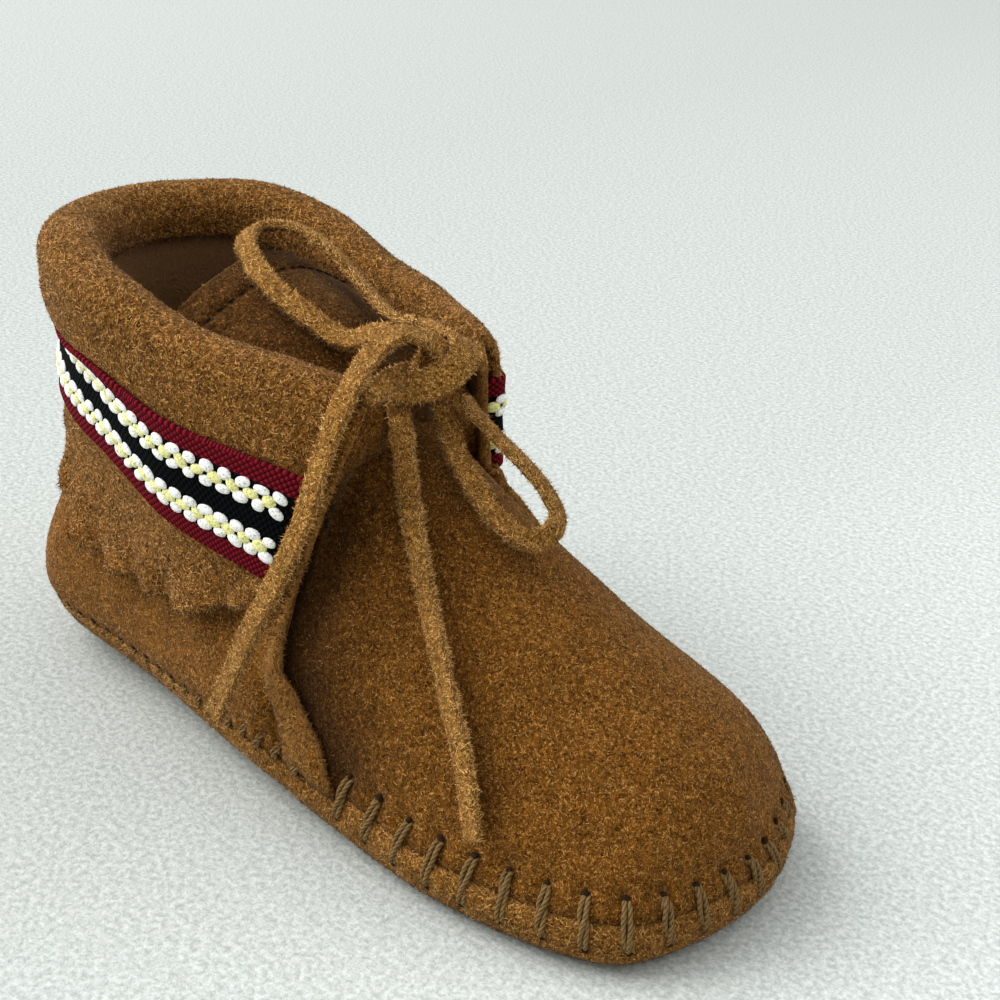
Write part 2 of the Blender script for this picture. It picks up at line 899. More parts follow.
UPPER_SUEDE = Suede("upper_suede", cut=(0.44, 0.25, 0.09))
CUFF_SUEDE = Suede("cuff_suede", middle=(0.19, 0.084, 0.015), light=(0.54, 0.305, 0.11), fibre=0.6, nap=0.4,
                   clump=1.7, clump_depth=0.9)
SOLE_SUEDE = Suede("sole_suede", middle=(0.20, 0.090, 0.016), light=(0.56, 0.33, 0.12))
LINING_SUEDE = Suede("lining_suede", middle=(0.19, 0.105, 0.040), light=(0.34, 0.21, 0.10))
THONG_SUEDE = Suede("thong_suede", middle=(0.27, 0.132, 0.028), light=(0.74, 0.46, 0.18),
                    cut=(0.18, 0.09, 0.022))
WHITE_FLOAT = Yarn("white_float", (0.90, 0.90, 0.84), rough=0.45)
YELLOW_FLOAT = Yarn("yellow_float", (0.80, 0.78, 0.34), rough=0.5)
SEAM_THREAD = Yarn("waxed_seam_thread", (0.208, 0.127, 0.045), 0.22, rough=0.8, twist=0.95)
HOLE_SHADE = Yarn("hole_shade", (0.032, 0.016, 0.005), rough=1.0)


@dataclass(frozen=True)
class Nap:
    """Loose fibres that stand off napped leather, thicker along its cut edges.

    Attributes:
        density: fibres on a square millimetre.
        length: shortest and longest fibre.
        wide: width at the root.
        lift: how steeply a fibre may stand.
        edge_share: how many times denser the nap is on a cut edge.
        swirl: width of the swirls that the fibres lie in.
    """

    density: float = 5.5
    length: Pair = (0.35, 0.95)
    wide: float = 0.17
    lift: float = 0.5
    edge_share: float = 3.0
    swirl: float = 3.0

    def on(self, surface: Surface, seed: int, keep: Array | None = None) -> Surface:
        """Scatter fibres.

        Args:
            surface: the leather they grow on; its inner side has none.
            seed: picks the pattern.
            keep: share of the density at each of the surface's points.

        Returns:
            The fibres.
        """
        rng = np.random.default_rng(seed)
        corners = surface.points[surface.faces]
        cross = np.cross(corners[:, 2] - corners[:, 0], corners[:, 3] - corners[:, 1])
        area = np.linalg.norm(cross, axis=-1) / 2.0
        normal = unit(cross)
        cut = surface.marks["cut"][surface.faces].mean(1)
        wanted = area * self.density * (1.0 + (self.edge_share - 1.0) * cut)
        if "inner" in surface.marks:
            wanted = wanted * (surface.marks["inner"][surface.faces].min(1) < 0.5)
        if keep is not None:
            wanted = wanted * keep[surface.faces].mean(1)
        face = np.repeat(np.arange(len(area)), rng.poisson(wanted))
        u, v = rng.random((2, len(face), 1))
        a, b, c, d = np.moveaxis(corners[face], 1, 0)
        root = (a * (1 - u) + b * u) * (1 - v) + (d * (1 - u) + c * u) * v
        normal, cut = normal[face], cut[face][:, None]
        swirls = np.stack([cloud(root, self.swirl, seed + axis) for axis in range(3)], -1)
        lie = rng.standard_normal((len(face), 3)) + 0.5 * swirls
        lie = unit(lie - normal * np.sum(lie * normal, -1, keepdims=True))
        steep = self.lift * rng.random((len(face), 1)) * (1.0 + cut)
        direction = unit(lie + normal * steep)
        low, high = self.length
        length = (low + (high - low) * rng.random((len(face), 1)) ** 1.6) * (1.0 + 0.3 * cut)
        side = unit(np.cross(direction, normal)) * self.wide / 2.0
        root = root - normal * 0.02
        points = np.stack([root - side, root + side, root + direction * length], 1).reshape(-1, 3)
        points[:, 2] = np.maximum(points[:, 2], 0.0)  # the floor presses them flat
        first = 3 * np.arange(len(face))
        faces = np.stack([first, first + 1, first + 2, first + 2], -1)
        tint = 0.5 + 0.45 * rng.standard_normal(len(face)) + 0.3 * cut[:, 0]
        if "soil" in surface.marks:
            tint = tint - 0.9 * surface.marks["soil"][surface.faces].mean(1)[face]
        tint = np.clip(tint, 0.0, 1.0)
        shading = unit(np.repeat(normal + 0.35 * lie * rng.random((len(face), 1)), 3, axis=0))
        return Surface(points, faces, {"tint": np.repeat(tint, 3)}, normals=shading)

    def grow(self, name: str, leather: Suede, surface: Surface, slot: str, seed: int,
             keep: Array | None = None) -> Thing:
        """Scatter fibres and make them a piece."""
        return self.on(surface, seed, keep).place(name, leather.fibres(), slot)


# ---- the last


@dataclass(frozen=True)
class Rib:
    """One rib of the last, from the sole's outline up to the ridge or the collar."""

    place: str
    base_x: float
    lateral: float
    medial: float
    top_x: float
    half_gap: float
    top_z: float
    ridge_y: float
    arch: float
    lean: float
    bulge: float
    edge: float

    def top(self) -> tuple[float, ...]:
        """The columns that describe its upper end and its form."""
        end = (self.top_x, self.half_gap, self.top_z, self.ridge_y)
        return (*end, self.arch, self.lean, self.bulge, self.edge)


RIBS = (
    Rib("heel back", -5.0, 0.0, 0.0, 2.6, 0.0, 78.2, 0.0, 0.0, 0.6, 6.4, 7.0),
    Rib("heel side", 2.0, 19.8, 18.4, 12.5, 17.8, 78.6, -0.2, 0.0, 0.7, 8.6, 11.5),
    Rib("rear quarter", 26.0, 23.9, 24.5, 30.0, 23.4, 75.7, -1.2, 0.0, 1.4, 5.2, 10.5),
    Rib("waist", 48.0, 25.9, 24.0, 48.0, 22.2, 71.2, -1.6, 0.0, 1.5, 5.2, 9.5),
    Rib("collar front", 68.0, 28.6, 24.8, 76.5, 13.8, 67.2, -0.6, 0.15, 1.5, 5.0, 9.0),
    Rib("throat side", 75.0, 29.6, 25.5, 74.5, 11.5, 56.8, 0.0, 0.75, 1.5, 5.0, 8.4),
    Rib("throat", 82.0, 30.4, 26.4, 70.5, 0.0, 61.2, 0.0, 1.0, 1.5, 5.0, 7.2),
    Rib("instep", 97.0, 31.3, 29.4, 94.0, 0.0, 50.1, 0.0, 1.0, 1.5, 5.0, 6.2),
    Rib("ball", 114.0, 31.2, 34.2, 112.0, 0.0, 39.5, 1.0, 1.0, 1.5, 5.0, 6.0),
    Rib("toe side", 134.0, 26.8, 30.2, 127.0, 0.0, 32.4, 2.4, 1.0, 1.5, 5.0, 6.0),
    Rib("toe corner", 144.2, 17.6, 18.0, 133.5, 0.0, 28.8, 2.7, 1.0, 1.5, 5.0, 5.2),
    Rib("toe", 148.2, -1.0, 1.0, 138.2, 0.0, 25.8, 2.0, 1.0, 1.5, 5.0, 5.2),
)
TOE = len(RIBS) - 1
ROUND = 2 * TOE
STEP = 1e-3  # a small step along or up the last, to read a slope


@dataclass(frozen=True)
class Last:
    """The form that the leather is worked over.

    A place round the shoe is counted in ribs from the heel, along the lateral side to the toe and back
    along the medial side.
    """

    arch_power: float = 1.7
    bulge_at: float = 0.17
    bulge_spread: float = 0.04
    toe_spring: float = 1.0
    spring_from: float = 120.0
    toe_end: float = 148.2
    arch_lift: float = 1.4
    arch_from: float = 42.0
    arch_to: float = 80.0
    lift_fades_at: float = 45.0
    turn_weight: float = 15.0
    rise_steps: int = 240
    seam: Table = (
        (0.0, 9.0), (1.5, 8.6), (3.0, 8.9), (4.6, 10.2), (6.2, 9.9), (8.0, 8.0), (11.0, 7.8),
    )

    def seam_at(self, rib: Array) -> Array:
        """Height of the whip-stitched seam at places round the shoe."""
        return table_curve(self.seam, self.side_of(rib)[1])[..., 0]

    def outline(self, rib: Array) -> Array:
        """The sole's widest outline.

        Args:
            rib: places round the shoe.

        Returns:
            x and y at each.
        """
        lateral = [(r.base_x, -r.lateral) for r in RIBS]
        medial = [(r.base_x, r.medial) for r in RIBS[-2:0:-1]]
        return closed_spline(np.array(lateral + medial), np.asarray(rib, float))

    def even_ribs(self, start: float, stop: float, count: int) -> Array:
        """Places spaced evenly by the outline's length and turning.

        Args:
            start: the first place.
            stop: the last place.
            count: how many steps lie between them.

        Returns:
            The places.
        """
        fine = np.linspace(start, stop, 40 * count + 1)
        along = np.diff(self.outline(fine), axis=0)
        heading = np.unwrap(np.arctan2(along[:, 1], along[:, 0]))
        turning = np.abs(np.gradient(heading)) * self.turn_weight
        reach = np.concatenate([[0.0], np.cumsum(np.hypot(along[:, 0], along[:, 1]) + turning)])
        return np.interp(np.linspace(0.0, reach[-1], count + 1), reach, fine)

    def all_round(self, count: int) -> Array:
        """Evenly spaced places all the way round, count on each side."""
        half = self.even_ribs(0.0, TOE, count)
        return np.concatenate([half, ROUND - half[-2:0:-1]])

    @staticmethod
    def side_of(rib: Array) -> tuple[Array, Array]:
        """-1 on the lateral side and 1 on the medial side, and the rib counted from the heel."""
        rib = np.mod(np.asarray(rib, float), ROUND)
        return np.where(rib <= TOE, -1.0, 1.0), np.where(rib <= TOE, rib, ROUND - rib)

    def top_line(self, rib: Array) -> tuple[Array, tuple[Array, Array, Array, Array]]:
        """The ridge, throat and collar.

        Args:
            rib: places round the shoe.

        Returns:
            The points, and the arch, lean, bulge and edge there.
        """
        side, from_heel = self.side_of(rib)
        first = RIBS[1].top()
        mirrored = (first[0], -first[1], *first[2:])
        rows = np.array([mirrored, *(r.top() for r in RIBS)])
        read = steady_curve(np.arange(-1.0, TOE + 1.0), rows, from_heel)
        x, gap, z, ridge, arch, lean, bulge, edge = np.moveaxis(read, -1, 0)
        return np.stack([x, ridge + side * gap, z], -1), (arch, lean, bulge, edge)

    def outward(self, rib: Array) -> Array:
        """The level direction that points away from the foot.

        Args:
            rib: places round the shoe.

        Returns:
            x and y of the direction at each.
        """
        rib = np.asarray(rib, float)
        along = self.outline(rib + STEP) - self.outline(rib - STEP)
        return unit(np.stack([along[..., 1], -along[..., 0]], -1))

    def skin(self, rib: Array, rise: Array, out: Array | float = 0.0) -> Array:
        """Points of the last's outer skin.

        Args:
            rib: places round the shoe.
            rise: from the floor (0) to the ridge or collar (1).
            out: distance outward along the surface's normal.

        Returns:
            The points.
        """
        rib, rise = np.broadcast_arrays(np.asarray(rib, float), np.asarray(rise, float))
        base = self.outline(rib)
        top, (arch, lean, bulge, edge) = self.top_line(rib)
        arch = smooth_step(arch)
        angle = np.clip(rise, 0.0, 1.0) * math.pi / 2.0
        power = 2.0 / self.arch_power
        inward = (1.0 - arch) * rise**lean + arch * (1.0 - np.clip(np.cos(angle), 0.0, 1.0) ** power)
        upward = (1.0 - arch) * rise + arch * np.sin(angle) ** power
        z = top[..., 2] * upward
        bulge = bulge * (1.0 - arch) * np.sin(math.pi * upward)
        bulge = bulge * np.exp(-((upward - self.bulge_at) ** 2) / self.bulge_spread)
        under = np.clip(edge - z, 0.0, edge)
        tucked = edge - np.sqrt(edge**2 - under**2)
        level = base + (top[..., :2] - base) * inward[..., None]
        level = level + self.outward(rib) * (bulge - tucked)[..., None]
        points = np.concatenate([level, z[..., None]], -1)
        if np.any(out):
            around = self.skin(rib + STEP, rise) - self.skin(rib - STEP, rise)
            up = self.skin(rib, np.minimum(rise + STEP, 1.0)) - self.skin(rib, np.maximum(rise - STEP, 0.0))
            normal = unit(np.cross(around, up))
            points = points + normal * np.broadcast_to(out, rib.shape)[..., None]
        return points

    def rise_at_height(self, rib: Array, height: Array) -> Array:
        """The rise at which the skin reaches heights.

        Args:
            rib: places round the shoe, one dimension.
            height: one height for each place, or a row of them.

        Returns:
            The rises, in the shape of height.
        """
        steps = np.linspace(0.0, 1.0, self.rise_steps + 1)
        rib, height = np.asarray(rib, float), np.asarray(height, float)
        single = height.ndim < 2
        rows = height[:, None] if single else height
        table = self.skin(rib[:, None], steps[None, :])[..., 2]
        found = np.array([np.interp(levels, line, steps) for levels, line in zip(rows, table)])
        return found[:, 0] if single else found

    def stand(self, points: Array) -> Array:
        """Give points the toe spring and the arch that lift the sole off the floor, fading upward.

        Args:
            points: places on a last that stands flat.

        Returns:
            The lifted places.
        """
        x, y, z = points[..., 0], points[..., 1], points[..., 2]
        spring = np.clip((x - self.spring_from) / (self.toe_end - self.spring_from), 0.0, None)
        along = np.clip((x - self.arch_from) / (self.arch_to - self.arch_from), 0.0, 1.0)
        arch = self.arch_lift * np.sin(math.pi * along) ** 2 * smooth_step((y + 2.0) / 16.0)
        lifted = points.copy()
        lifted[..., 2] += (self.toe_spring * spring**2 + arch) * smooth_step(1.0 - z / self.lift_fades_at)
        return lifted


LAST = Last()


# ---- sub-assemblies


@dataclass
class WhipStitches:
    """Whip stitches over the seam between the sole and the upper, large at the toe and sunk behind.

    Each is three plies in a loose twist. The tables give the large ones' slant and lift by share of the way
    round the toe, and the sunk ones' pitch, then their rise and lift, by rib from the heel.
    """

    ply: float = 0.82
    sunk_share: float = 0.72
    plies: int = 3
    plies_spread: float = 0.72
    plies_flat: float = 0.5
    plies_wobble: Lump = Lump(1.6, 0.10, 0)
    ends_dip: float = 1.0
    points: int = 22
    sunk_points: int = 12
    sunk_slant: float = -0.8
    hole: tuple[float, float, float] = (1.35, 1.2, 0.9)
    sunk_hole: tuple[float, float, float] = (1.3, 1.2, 0.8)
    hole_depth: float = 0.35
    hole_spread: float = 0.22
    toe_from: float = 6.62
    toe_to: float = 15.3
    toe_pitch: float = 6.5
    above: float = 4.3
    below: float = 3.6
    twist: float = 0.55
    lean: Table = (
        (0.0, -1.6), (0.12, -1.0), (0.24, 1.0), (0.36, 2.2), (0.48, 2.8), (1.0, 3.0),
    )
    lifts: Table = (
        (0.0, 0.4), (0.56, 0.4), (0.61, -0.2), (0.72, -0.2), (0.8, 0.4), (1.0, 0.4),
    )
    sunk_from: float = 0.5
    sunk_to: float = 6.45
    sunk_pitch: Table = ((0.0, 4.0), (4.0, 4.6), (5.0, 5.6), (7.0, 6.4))
    sunk_above: float = 1.7
    sunk_below: float = 1.5
    sunk: Table = (
        (0.0, 0.2, -0.6), (2.8, 0.2, -0.4), (3.8, 1.6, 0.5), (4.4, 1.8, 1.5), (5.0, 1.8, 2.4),
        (5.6, 1.6, 2.9), (6.45, 1.0, 2.9),
    )

    @staticmethod
    def reach(start: float, stop: float) -> tuple[Array, Array]:
        """Places along the outline, and their distance from the first."""
        fine = np.linspace(start, stop, 600)
        return fine, distances(LAST.outline(fine))

    def toe_ribs(self) -> Array:
        """Places of the large stitches round the toe."""
        fine, reach = self.reach(self.toe_from, self.toe_to)
        return np.interp(np.arange(0.0, reach[-1], self.toe_pitch), reach, fine)

    def sunk_ribs(self) -> Array:
        """Places of the small stitches.

        Returns:
            The lateral side's, then the medial side's.
        """
        fine, reach = self.reach(self.sunk_from, self.sunk_to)
        places, at = [], 0.0
        while at < reach[-1]:
            rib = float(np.interp(at, reach, fine))
            places.append(rib)
            at += float(table_curve(self.sunk_pitch, np.array([rib]))[0, 0])
        lateral = np.array(places)
        return np.concatenate([lateral, ROUND - lateral])

    @staticmethod
    def line(rib: float, above: float, below: float, slant: float, count: int) -> tuple[Array, Array]:
        """The middle line of a stitch on the leather, and the leather's normals there.

        Args:
            rib: its place round the shoe.
            above: how far above the seam it starts.
            below: how far below the seam it ends.
            slant: how far its lower end lies forward along the seam.
            count: points along it.

        Returns:
            Points and normals.
        """
        mm_a_rib = float(np.linalg.norm(LAST.outline(rib + STEP) - LAST.outline(rib - STEP))) / (2 * STEP)
        steps = np.linspace(0.0, 1.0, count)
        height = LAST.seam_at(np.array([rib])) + above - (above + below) * steps
        ribs = rib + slant * (steps - 0.5) / mm_a_rib
        rises = np.array([LAST.rise_at_height(np.array([r]), np.array([h]))[0] for r, h in zip(ribs, height)])
        path = LAST.stand(LAST.skin(ribs, rises, 0.0))
        return path, unit(LAST.stand(LAST.skin(ribs, rises, 1.0)) - path)

    def toe_lines(self) -> list[tuple[Array, Array]]:
        """Lay out the large stitches.

        Returns:
            Their middle lines and normals.
        """
        ribs = self.toe_ribs()
        leans = table_curve(self.lean, np.linspace(0.0, 1.0, len(ribs)))[:, 0]
        return [
            self.line(float(rib), self.above, self.below, float(lean), self.points)
            for rib, lean in zip(ribs, leans)
        ]

    def sunk_lines(self) -> list[tuple[Array, Array]]:
        """Lay out the small stitches.

        Returns:
            Their middle lines and normals.
        """
        lines = []
        places = self.sunk_ribs()
        for rib, rise in zip(places, table_curve(self.sunk, np.minimum(places, ROUND - places))[:, 0]):
            above, below = self.sunk_above + float(rise), self.sunk_below - float(rise)
            lines.append(self.line(float(rib), above, below, self.sunk_slant, self.sunk_points))
        return lines

    def ends(self) -> tuple[Array, Array]:
        """Both ends of every large stitch, and of every small one."""
        return tuple(np.concatenate([path[[0, -1]] for path, _ in lines])
                     for lines in (self.toe_lines(), self.sunk_lines()))

    def thread(self, path: Array, normal: Array, lift: float, ply: float, seed: int) -> Surface:
        """One stitch of three plies laid in a loose twist over the seam.

        Args:
            path: its middle line on the leather.
            normal: the leather's normals there.
            lift: height of its arch over the leather.
            ply: thickness of a ply.
            seed: picks its small differences.

        Returns:
            Its surface.
        """
        rng = np.random.default_rng(seed)
        steps = np.linspace(0.0, 1.0, len(path))
        sine = np.sin(math.pi * steps)
        arch = lift * sine**0.6 - self.ends_dip * (1.0 - sine) ** 4
        across = unit(np.cross(normal, np.gradient(path, axis=0)))
        start = rng.uniform(0.0, 2.0 * math.pi)
        twist = self.twist * (1.0 + 0.3 * rng.standard_normal())
        spread = (0.75 + 0.25 * sine)[:, None] * ply * self.plies_spread
        plies = []
        for number in range(self.plies):
            turn = (start + 2.0 * math.pi * (number / self.plies + twist * steps))[:, None]
            offset = (across * np.cos(turn) + normal * np.sin(turn) * self.plies_flat) * spread
            wobble = across * layered(path + 5.0 * number, (self.plies_wobble,), seed)[:, None]
            line = path + normal * arch[:, None] + offset + wobble
            plies.append(swept(line, normal, ply, ply, around=8, square=2.0))
        return as_one(plies)

    def build(self) -> list[Thing]:
        """Make the large stitches, the small ones and the dark holes at their ends.

        Returns:
            The pieces.
        """
        large, small, places = self.toe_lines(), self.sunk_lines(), self.sunk_ribs()
        lifts = table_curve(self.lifts, np.arange(len(large)) / len(large))[:, 0]
        sunk_lifts = table_curve(self.sunk, np.minimum(places, ROUND - places))[:, 1]
        threads, holes = [], []
        for lines, heights, ply, first, size in (
            (large, lifts, self.ply, 0, self.hole),
            (small, sunk_lifts, self.ply * self.sunk_share, 100, self.sunk_hole),
        ):
            for seed, ((path, normal), lift) in enumerate(zip(lines, heights)):
                threads.append(self.thread(path, normal, float(lift), ply, seed + first))
            for end, beside in ((0, 1), (-1, -2)):
                centres = np.array([path[end] - self.hole_depth * normal[end] for path, normal in lines])
                along = unit(np.array([path[end] - path[beside] for path, _ in lines]))
                facing = np.array([normal[end] for _, normal in lines])
                holes.append(ovals(centres, along, np.cross(along, facing), size, 5, self.hole_spread))
        return [
            as_one(threads).place("whip_stitches", SEAM_THREAD.material(), "sole"),
            as_one(holes).place("stitch_holes", HOLE_SHADE.material(), "sole"),
        ]


@dataclass
class Sole:
    """The soft sole, flat below and turned up all round to the whip-stitched seam."""

    seam: WhipStitches
    thick: float = 2.2
    half_columns: int = 180
    side_rows: int = 22
    under_rows: int = 16
    spine: Table = ((24.0, -0.5), (124.0, 1.5))
    puff: Ridge = Ridge(6.5, 2.2, 0.5)
    lumps: tuple[Lump, ...] = (Lump(9.0, 0.25, 3), Lump(4.0, 0.12, 4))
    dimples: tuple[Fade, Fade] = (Fade(0.9, 1.5), Fade(0.7, 1.3))
    soil_to: float = 4.0
    soil: float = 0.5
    nap: Nap = Nap(length=(0.4, 1.2))

    def middle_line(self, rib: Array) -> Array:
        """The line inside the sole that its rings close on.

        Args:
            rib: places round the shoe.

        Returns:
            x and y for each.
        """
        x = np.clip(LAST.outline(rib)[..., 0], self.spine[0][0], self.spine[1][0])
        y = np.interp(x, [end[0] for end in self.spine], [end[1] for end in self.spine])
        return np.stack([x, y], -1)

    def build(self) -> list[Thing]:
        """Make the sole.

        Returns:
            The sole and its nap.
        """
        ribs = LAST.all_round(self.half_columns)
        top = LAST.rise_at_height(ribs, LAST.seam_at(ribs) - 0.2)
        share = (np.arange(self.side_rows + 1) / self.side_rows) ** 1.5
        rise = top[:, None] * share + 1e-6
        side = LAST.skin(ribs[:, None], rise, -self.thick / 2.0)
        outward = np.concatenate([LAST.outward(ribs), np.zeros((len(ribs), 1))], -1)[:, None]
        relief = (self.puff.over(side[..., 2]) + layered(side, self.lumps)) * between(side[..., 2], 0.5, 4.0)
        side = side + outward * relief[..., None]
        for dimple, ends in zip(self.dimples, self.seam.ends()):
            side = side - outward * dimple.near(side, ends)[..., None]
        side[:, 0, 2] = self.thick / 2.0
        middle = self.middle_line(ribs)
        shares = np.linspace(0.0, 1.0, self.under_rows + 1)[:-1]
        rings = middle[:, None] + (side[:, :1, :2] - middle[:, None]) * shares[None, :, None]
        under = np.concatenate([rings, np.full(rings.shape[:2] + (1,), self.thick / 2.0)], -1)
        grid = LAST.stand(np.concatenate([under, side], axis=1))
        surface = leather_sheet(grid, self.thick, closed=True)
        surface.marks["soil"] = between(self.soil_to - surface.points[:, 2], 0.0, self.soil_to) * self.soil
        sole = surface.place("sole_leather", SOLE_SUEDE.material(), "sole")
        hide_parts("sole")
        above = between(surface.points[:, 2], 0.4, 1.5)
        return [sole, self.nap.grow("sole_nap", SOLE_SUEDE, surface, "sole", 31, above)]


@dataclass
class Cuff:
    """The collar rolled outward over itself, with its flap and its scalloped, curling hem.

    The leg table gives, by depth below the collar, how far the leather's middle stands out at the side and at
    the heel. The hem table gives the hem's depth by rib from the heel.
    """

    thick: float = 1.8
    columns: int = 330
    end: float = 3.9
    steady_from: float = 3.6
    inner_out: float = -3.4
    inner_depth: float = 3.6
    roll_start: float = 1.0
    roll_height: float = 5.0
    heel_fades: Pair = (1.3, 3.2)
    slims: float = 0.42
    slims_over: Pair = (3.2, 3.9)
    slims_down_to: Pair = (10.0, 26.0)
    inner_rows: int = 8
    roll_rows: int = 19
    leg_rows: int = 58
    inner_end: float = 1.6
    leg_start: float = 4.0
    braided: tuple[int, int] = (36, 60)
    scallops: int = 17
    scallop_depth: float = 1.1
    hem_length: float = 110.0
    ragged: tuple[Lump, ...] = (Lump(9.0, 0.7, 61), Lump(2.6, 0.35, 62), Lump(1.1, 0.2, 63))
    curls_from: float = 0.80
    curl: Pair = (0.4, 0.6)
    crinkles: tuple[Lump, ...] = (Lump(7.0, 1.1, 5), Lump(3.0, 0.35, 6))
    lumps: tuple[Lump, ...] = (Lump(20.0, 0.45, 21), Lump(8.0, 0.2, 22))
    nap: Nap = Nap(density=7.0, length=(0.45, 1.15), wide=0.19)
    leg: Table = (
        (1.0, 5.6, 6.6), (4.4, 6.4, 6.2), (7.2, 6.4, 6.0), (9.2, 6.2, 4.9), (11.0, 6.1, 2.5),
        (14.0, 5.9, 1.3), (23.0, 4.6, 1.3), (34.0, 3.5, 1.5), (50.0, 3.8, 2.0),
    )
    hem: Table = (
        (0.0, 31.0), (0.8, 33.5), (1.2, 38.0), (1.5, 43.0), (1.9, 47.5), (2.5, 45.0), (3.1, 42.0),
        (3.6, 35.5), (3.8, 30.5), (3.9, 26.5),
    )

    def out(self, rib: Array, depth: Array) -> Array:
        """How far the middle of the cuff's leather stands out from the quarter.

        Args:
            rib: places round the shoe.
            depth: depths below the collar.

        Returns:
            The distances.
        """
        rib, depth = np.broadcast_arrays(np.asarray(rib, float), np.asarray(depth, float))
        legs = table_curve(self.leg, depth)
        start, stop = self.heel_fades
        side, from_heel = LAST.side_of(rib)
        to_side = between(from_heel, start, stop)
        upper = 1.0 - between(depth, *self.slims_down_to)
        slim = self.slims * between(from_heel, *self.slims_over) * (side > 0.0) * upper
        return (legs[..., 0] * to_side + legs[..., 1] * (1.0 - to_side)) * (1.0 - slim)

    def square(self, rib: Array) -> Array:
        """The level direction square to the collar, held steady where the collar turns to the throat.

        Args:
            rib: places round the shoe.

        Returns:
            The directions.
        """
        side, from_heel = LAST.side_of(rib)
        last = np.where(side < 0.0, self.steady_from, ROUND - self.steady_from)
        held = np.where(from_heel > self.steady_from, last, rib)
        step = 1e-2
        along = LAST.top_line(held + step)[0] - LAST.top_line(held - step)[0]
        return unit(np.stack([along[..., 1], -along[..., 0], np.zeros(along.shape[:-1])], -1))

    def on_quarter(self, rib: Array, depth: Array, out: Array) -> Array:
        """Points at depths below the quarter's top edge, level out from its skin.

        Args:
            rib: places round the shoe, one dimension.
            depth: a row of depths for each place.
            out: distances out, in the shape of depth.

        Returns:
            The points, in the shape of depth.
        """
        top = LAST.top_line(rib)[0]
        depth = np.broadcast_to(depth, (len(rib), np.shape(depth)[-1]))
        rise = LAST.rise_at_height(rib, top[:, 2:3] - np.maximum(depth, 0.0))
        below = LAST.skin(np.broadcast_to(rib[:, None], rise.shape), rise)
        return below + self.square(rib)[:, None] * np.broadcast_to(out, depth.shape)[..., None]

    def hem_depth(self, place: Array) -> Array:
        """Depth of the hem.

        Args:
            place: from one front end (-1) to the other (1).

        Returns:
            The depth at each.
        """
        wave = np.abs(np.cos(place * math.pi * self.scallops / 2.0))
        depth = table_curve(self.hem, np.abs(place) * self.end)[..., 0]
        line = place[:, None] * np.array([self.hem_length, 0.0, 0.0])
        return depth - self.scallop_depth * (1.0 - wave) ** 1.5 + layered(line, self.ragged)

    def grid(self) -> Array:
        """Lay out the middle of the cuff's leather.

        Returns:
            Points, each column from inside the collar over the roll to the hem.
        """
        place = np.linspace(-1.0, 1.0, self.columns)
        rib = np.mod(-place * self.end, ROUND)
        top = LAST.top_line(rib)[0]
        depths = np.linspace(self.inner_depth, self.inner_end, self.inner_rows)
        rise = LAST.rise_at_height(rib, top[:, 2:3] - depths)
        inner = LAST.skin(np.broadcast_to(rib[:, None], rise.shape), rise, self.inner_out)
        first = self.out(rib, self.roll_start)
        middle, wide = (first + self.inner_out) / 2.0, (first - self.inner_out) / 2.0
        angle = np.linspace(0.0, math.pi, self.roll_rows)
        reach = middle[:, None] - wide[:, None] * np.cos(angle)
        roll = self.on_quarter(rib, np.full((1, len(angle)), self.roll_start), np.zeros(len(angle)))
        roll[..., 2] = top[:, 2:3] + self.roll_height * np.sin(angle) - self.roll_start
        roll = roll + self.square(rib)[:, None] * reach[..., None]
        down = np.linspace(0.0, 1.0, self.leg_rows)
        depth = self.leg_start + (self.hem_depth(place)[:, None] - self.leg_start) * down
        leg = self.on_quarter(rib, depth, self.out(rib[:, None], depth))
        near_hem = between(down, self.curls_from, 1.0)[None, :]
        waves = np.cos(place * math.pi * self.scallops)[:, None]
        curl = near_hem**1.5 * (self.curl[0] + self.curl[1] * waves)
        leg = leg + self.square(rib)[:, None] * (curl + layered(leg, self.crinkles) * near_hem)[..., None]
        return np.concatenate([inner, roll, leg], axis=1)

    def build(self) -> list[Thing]:
        """Make the cuff.

        Returns:
            The cuff and its nap, which spares the leather under the braid.
        """
        grid = self.grid()
        relief = layered(grid, self.lumps)
        surface = leather_sheet(grid + grid_normals(grid) * relief[..., None], self.thick)
        surface.marks["soil"] = np.zeros(len(surface.points))
        cuff = surface.place("cuff_leather", CUFF_SUEDE.material(), "suede")
        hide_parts("cuff")
        napped = np.ones(grid.shape[:2])
        napped[:, slice(*self.braided)] = 0.0
        keep = np.ones(len(surface.points))
        keep[: 2 * napped.size] = np.tile(napped.reshape(-1), 2)
        return [cuff, self.nap.grow("cuff_nap", CUFF_SUEDE, surface, "suede", 41, keep)]


@dataclass(frozen=True)
class WingEdge:
    """A point of the wing's front edge: its height, and on each side its rib and how far it stands off."""

    height: float
    lateral: float
    medial: float
    lateral_flare: float
    medial_flare: float


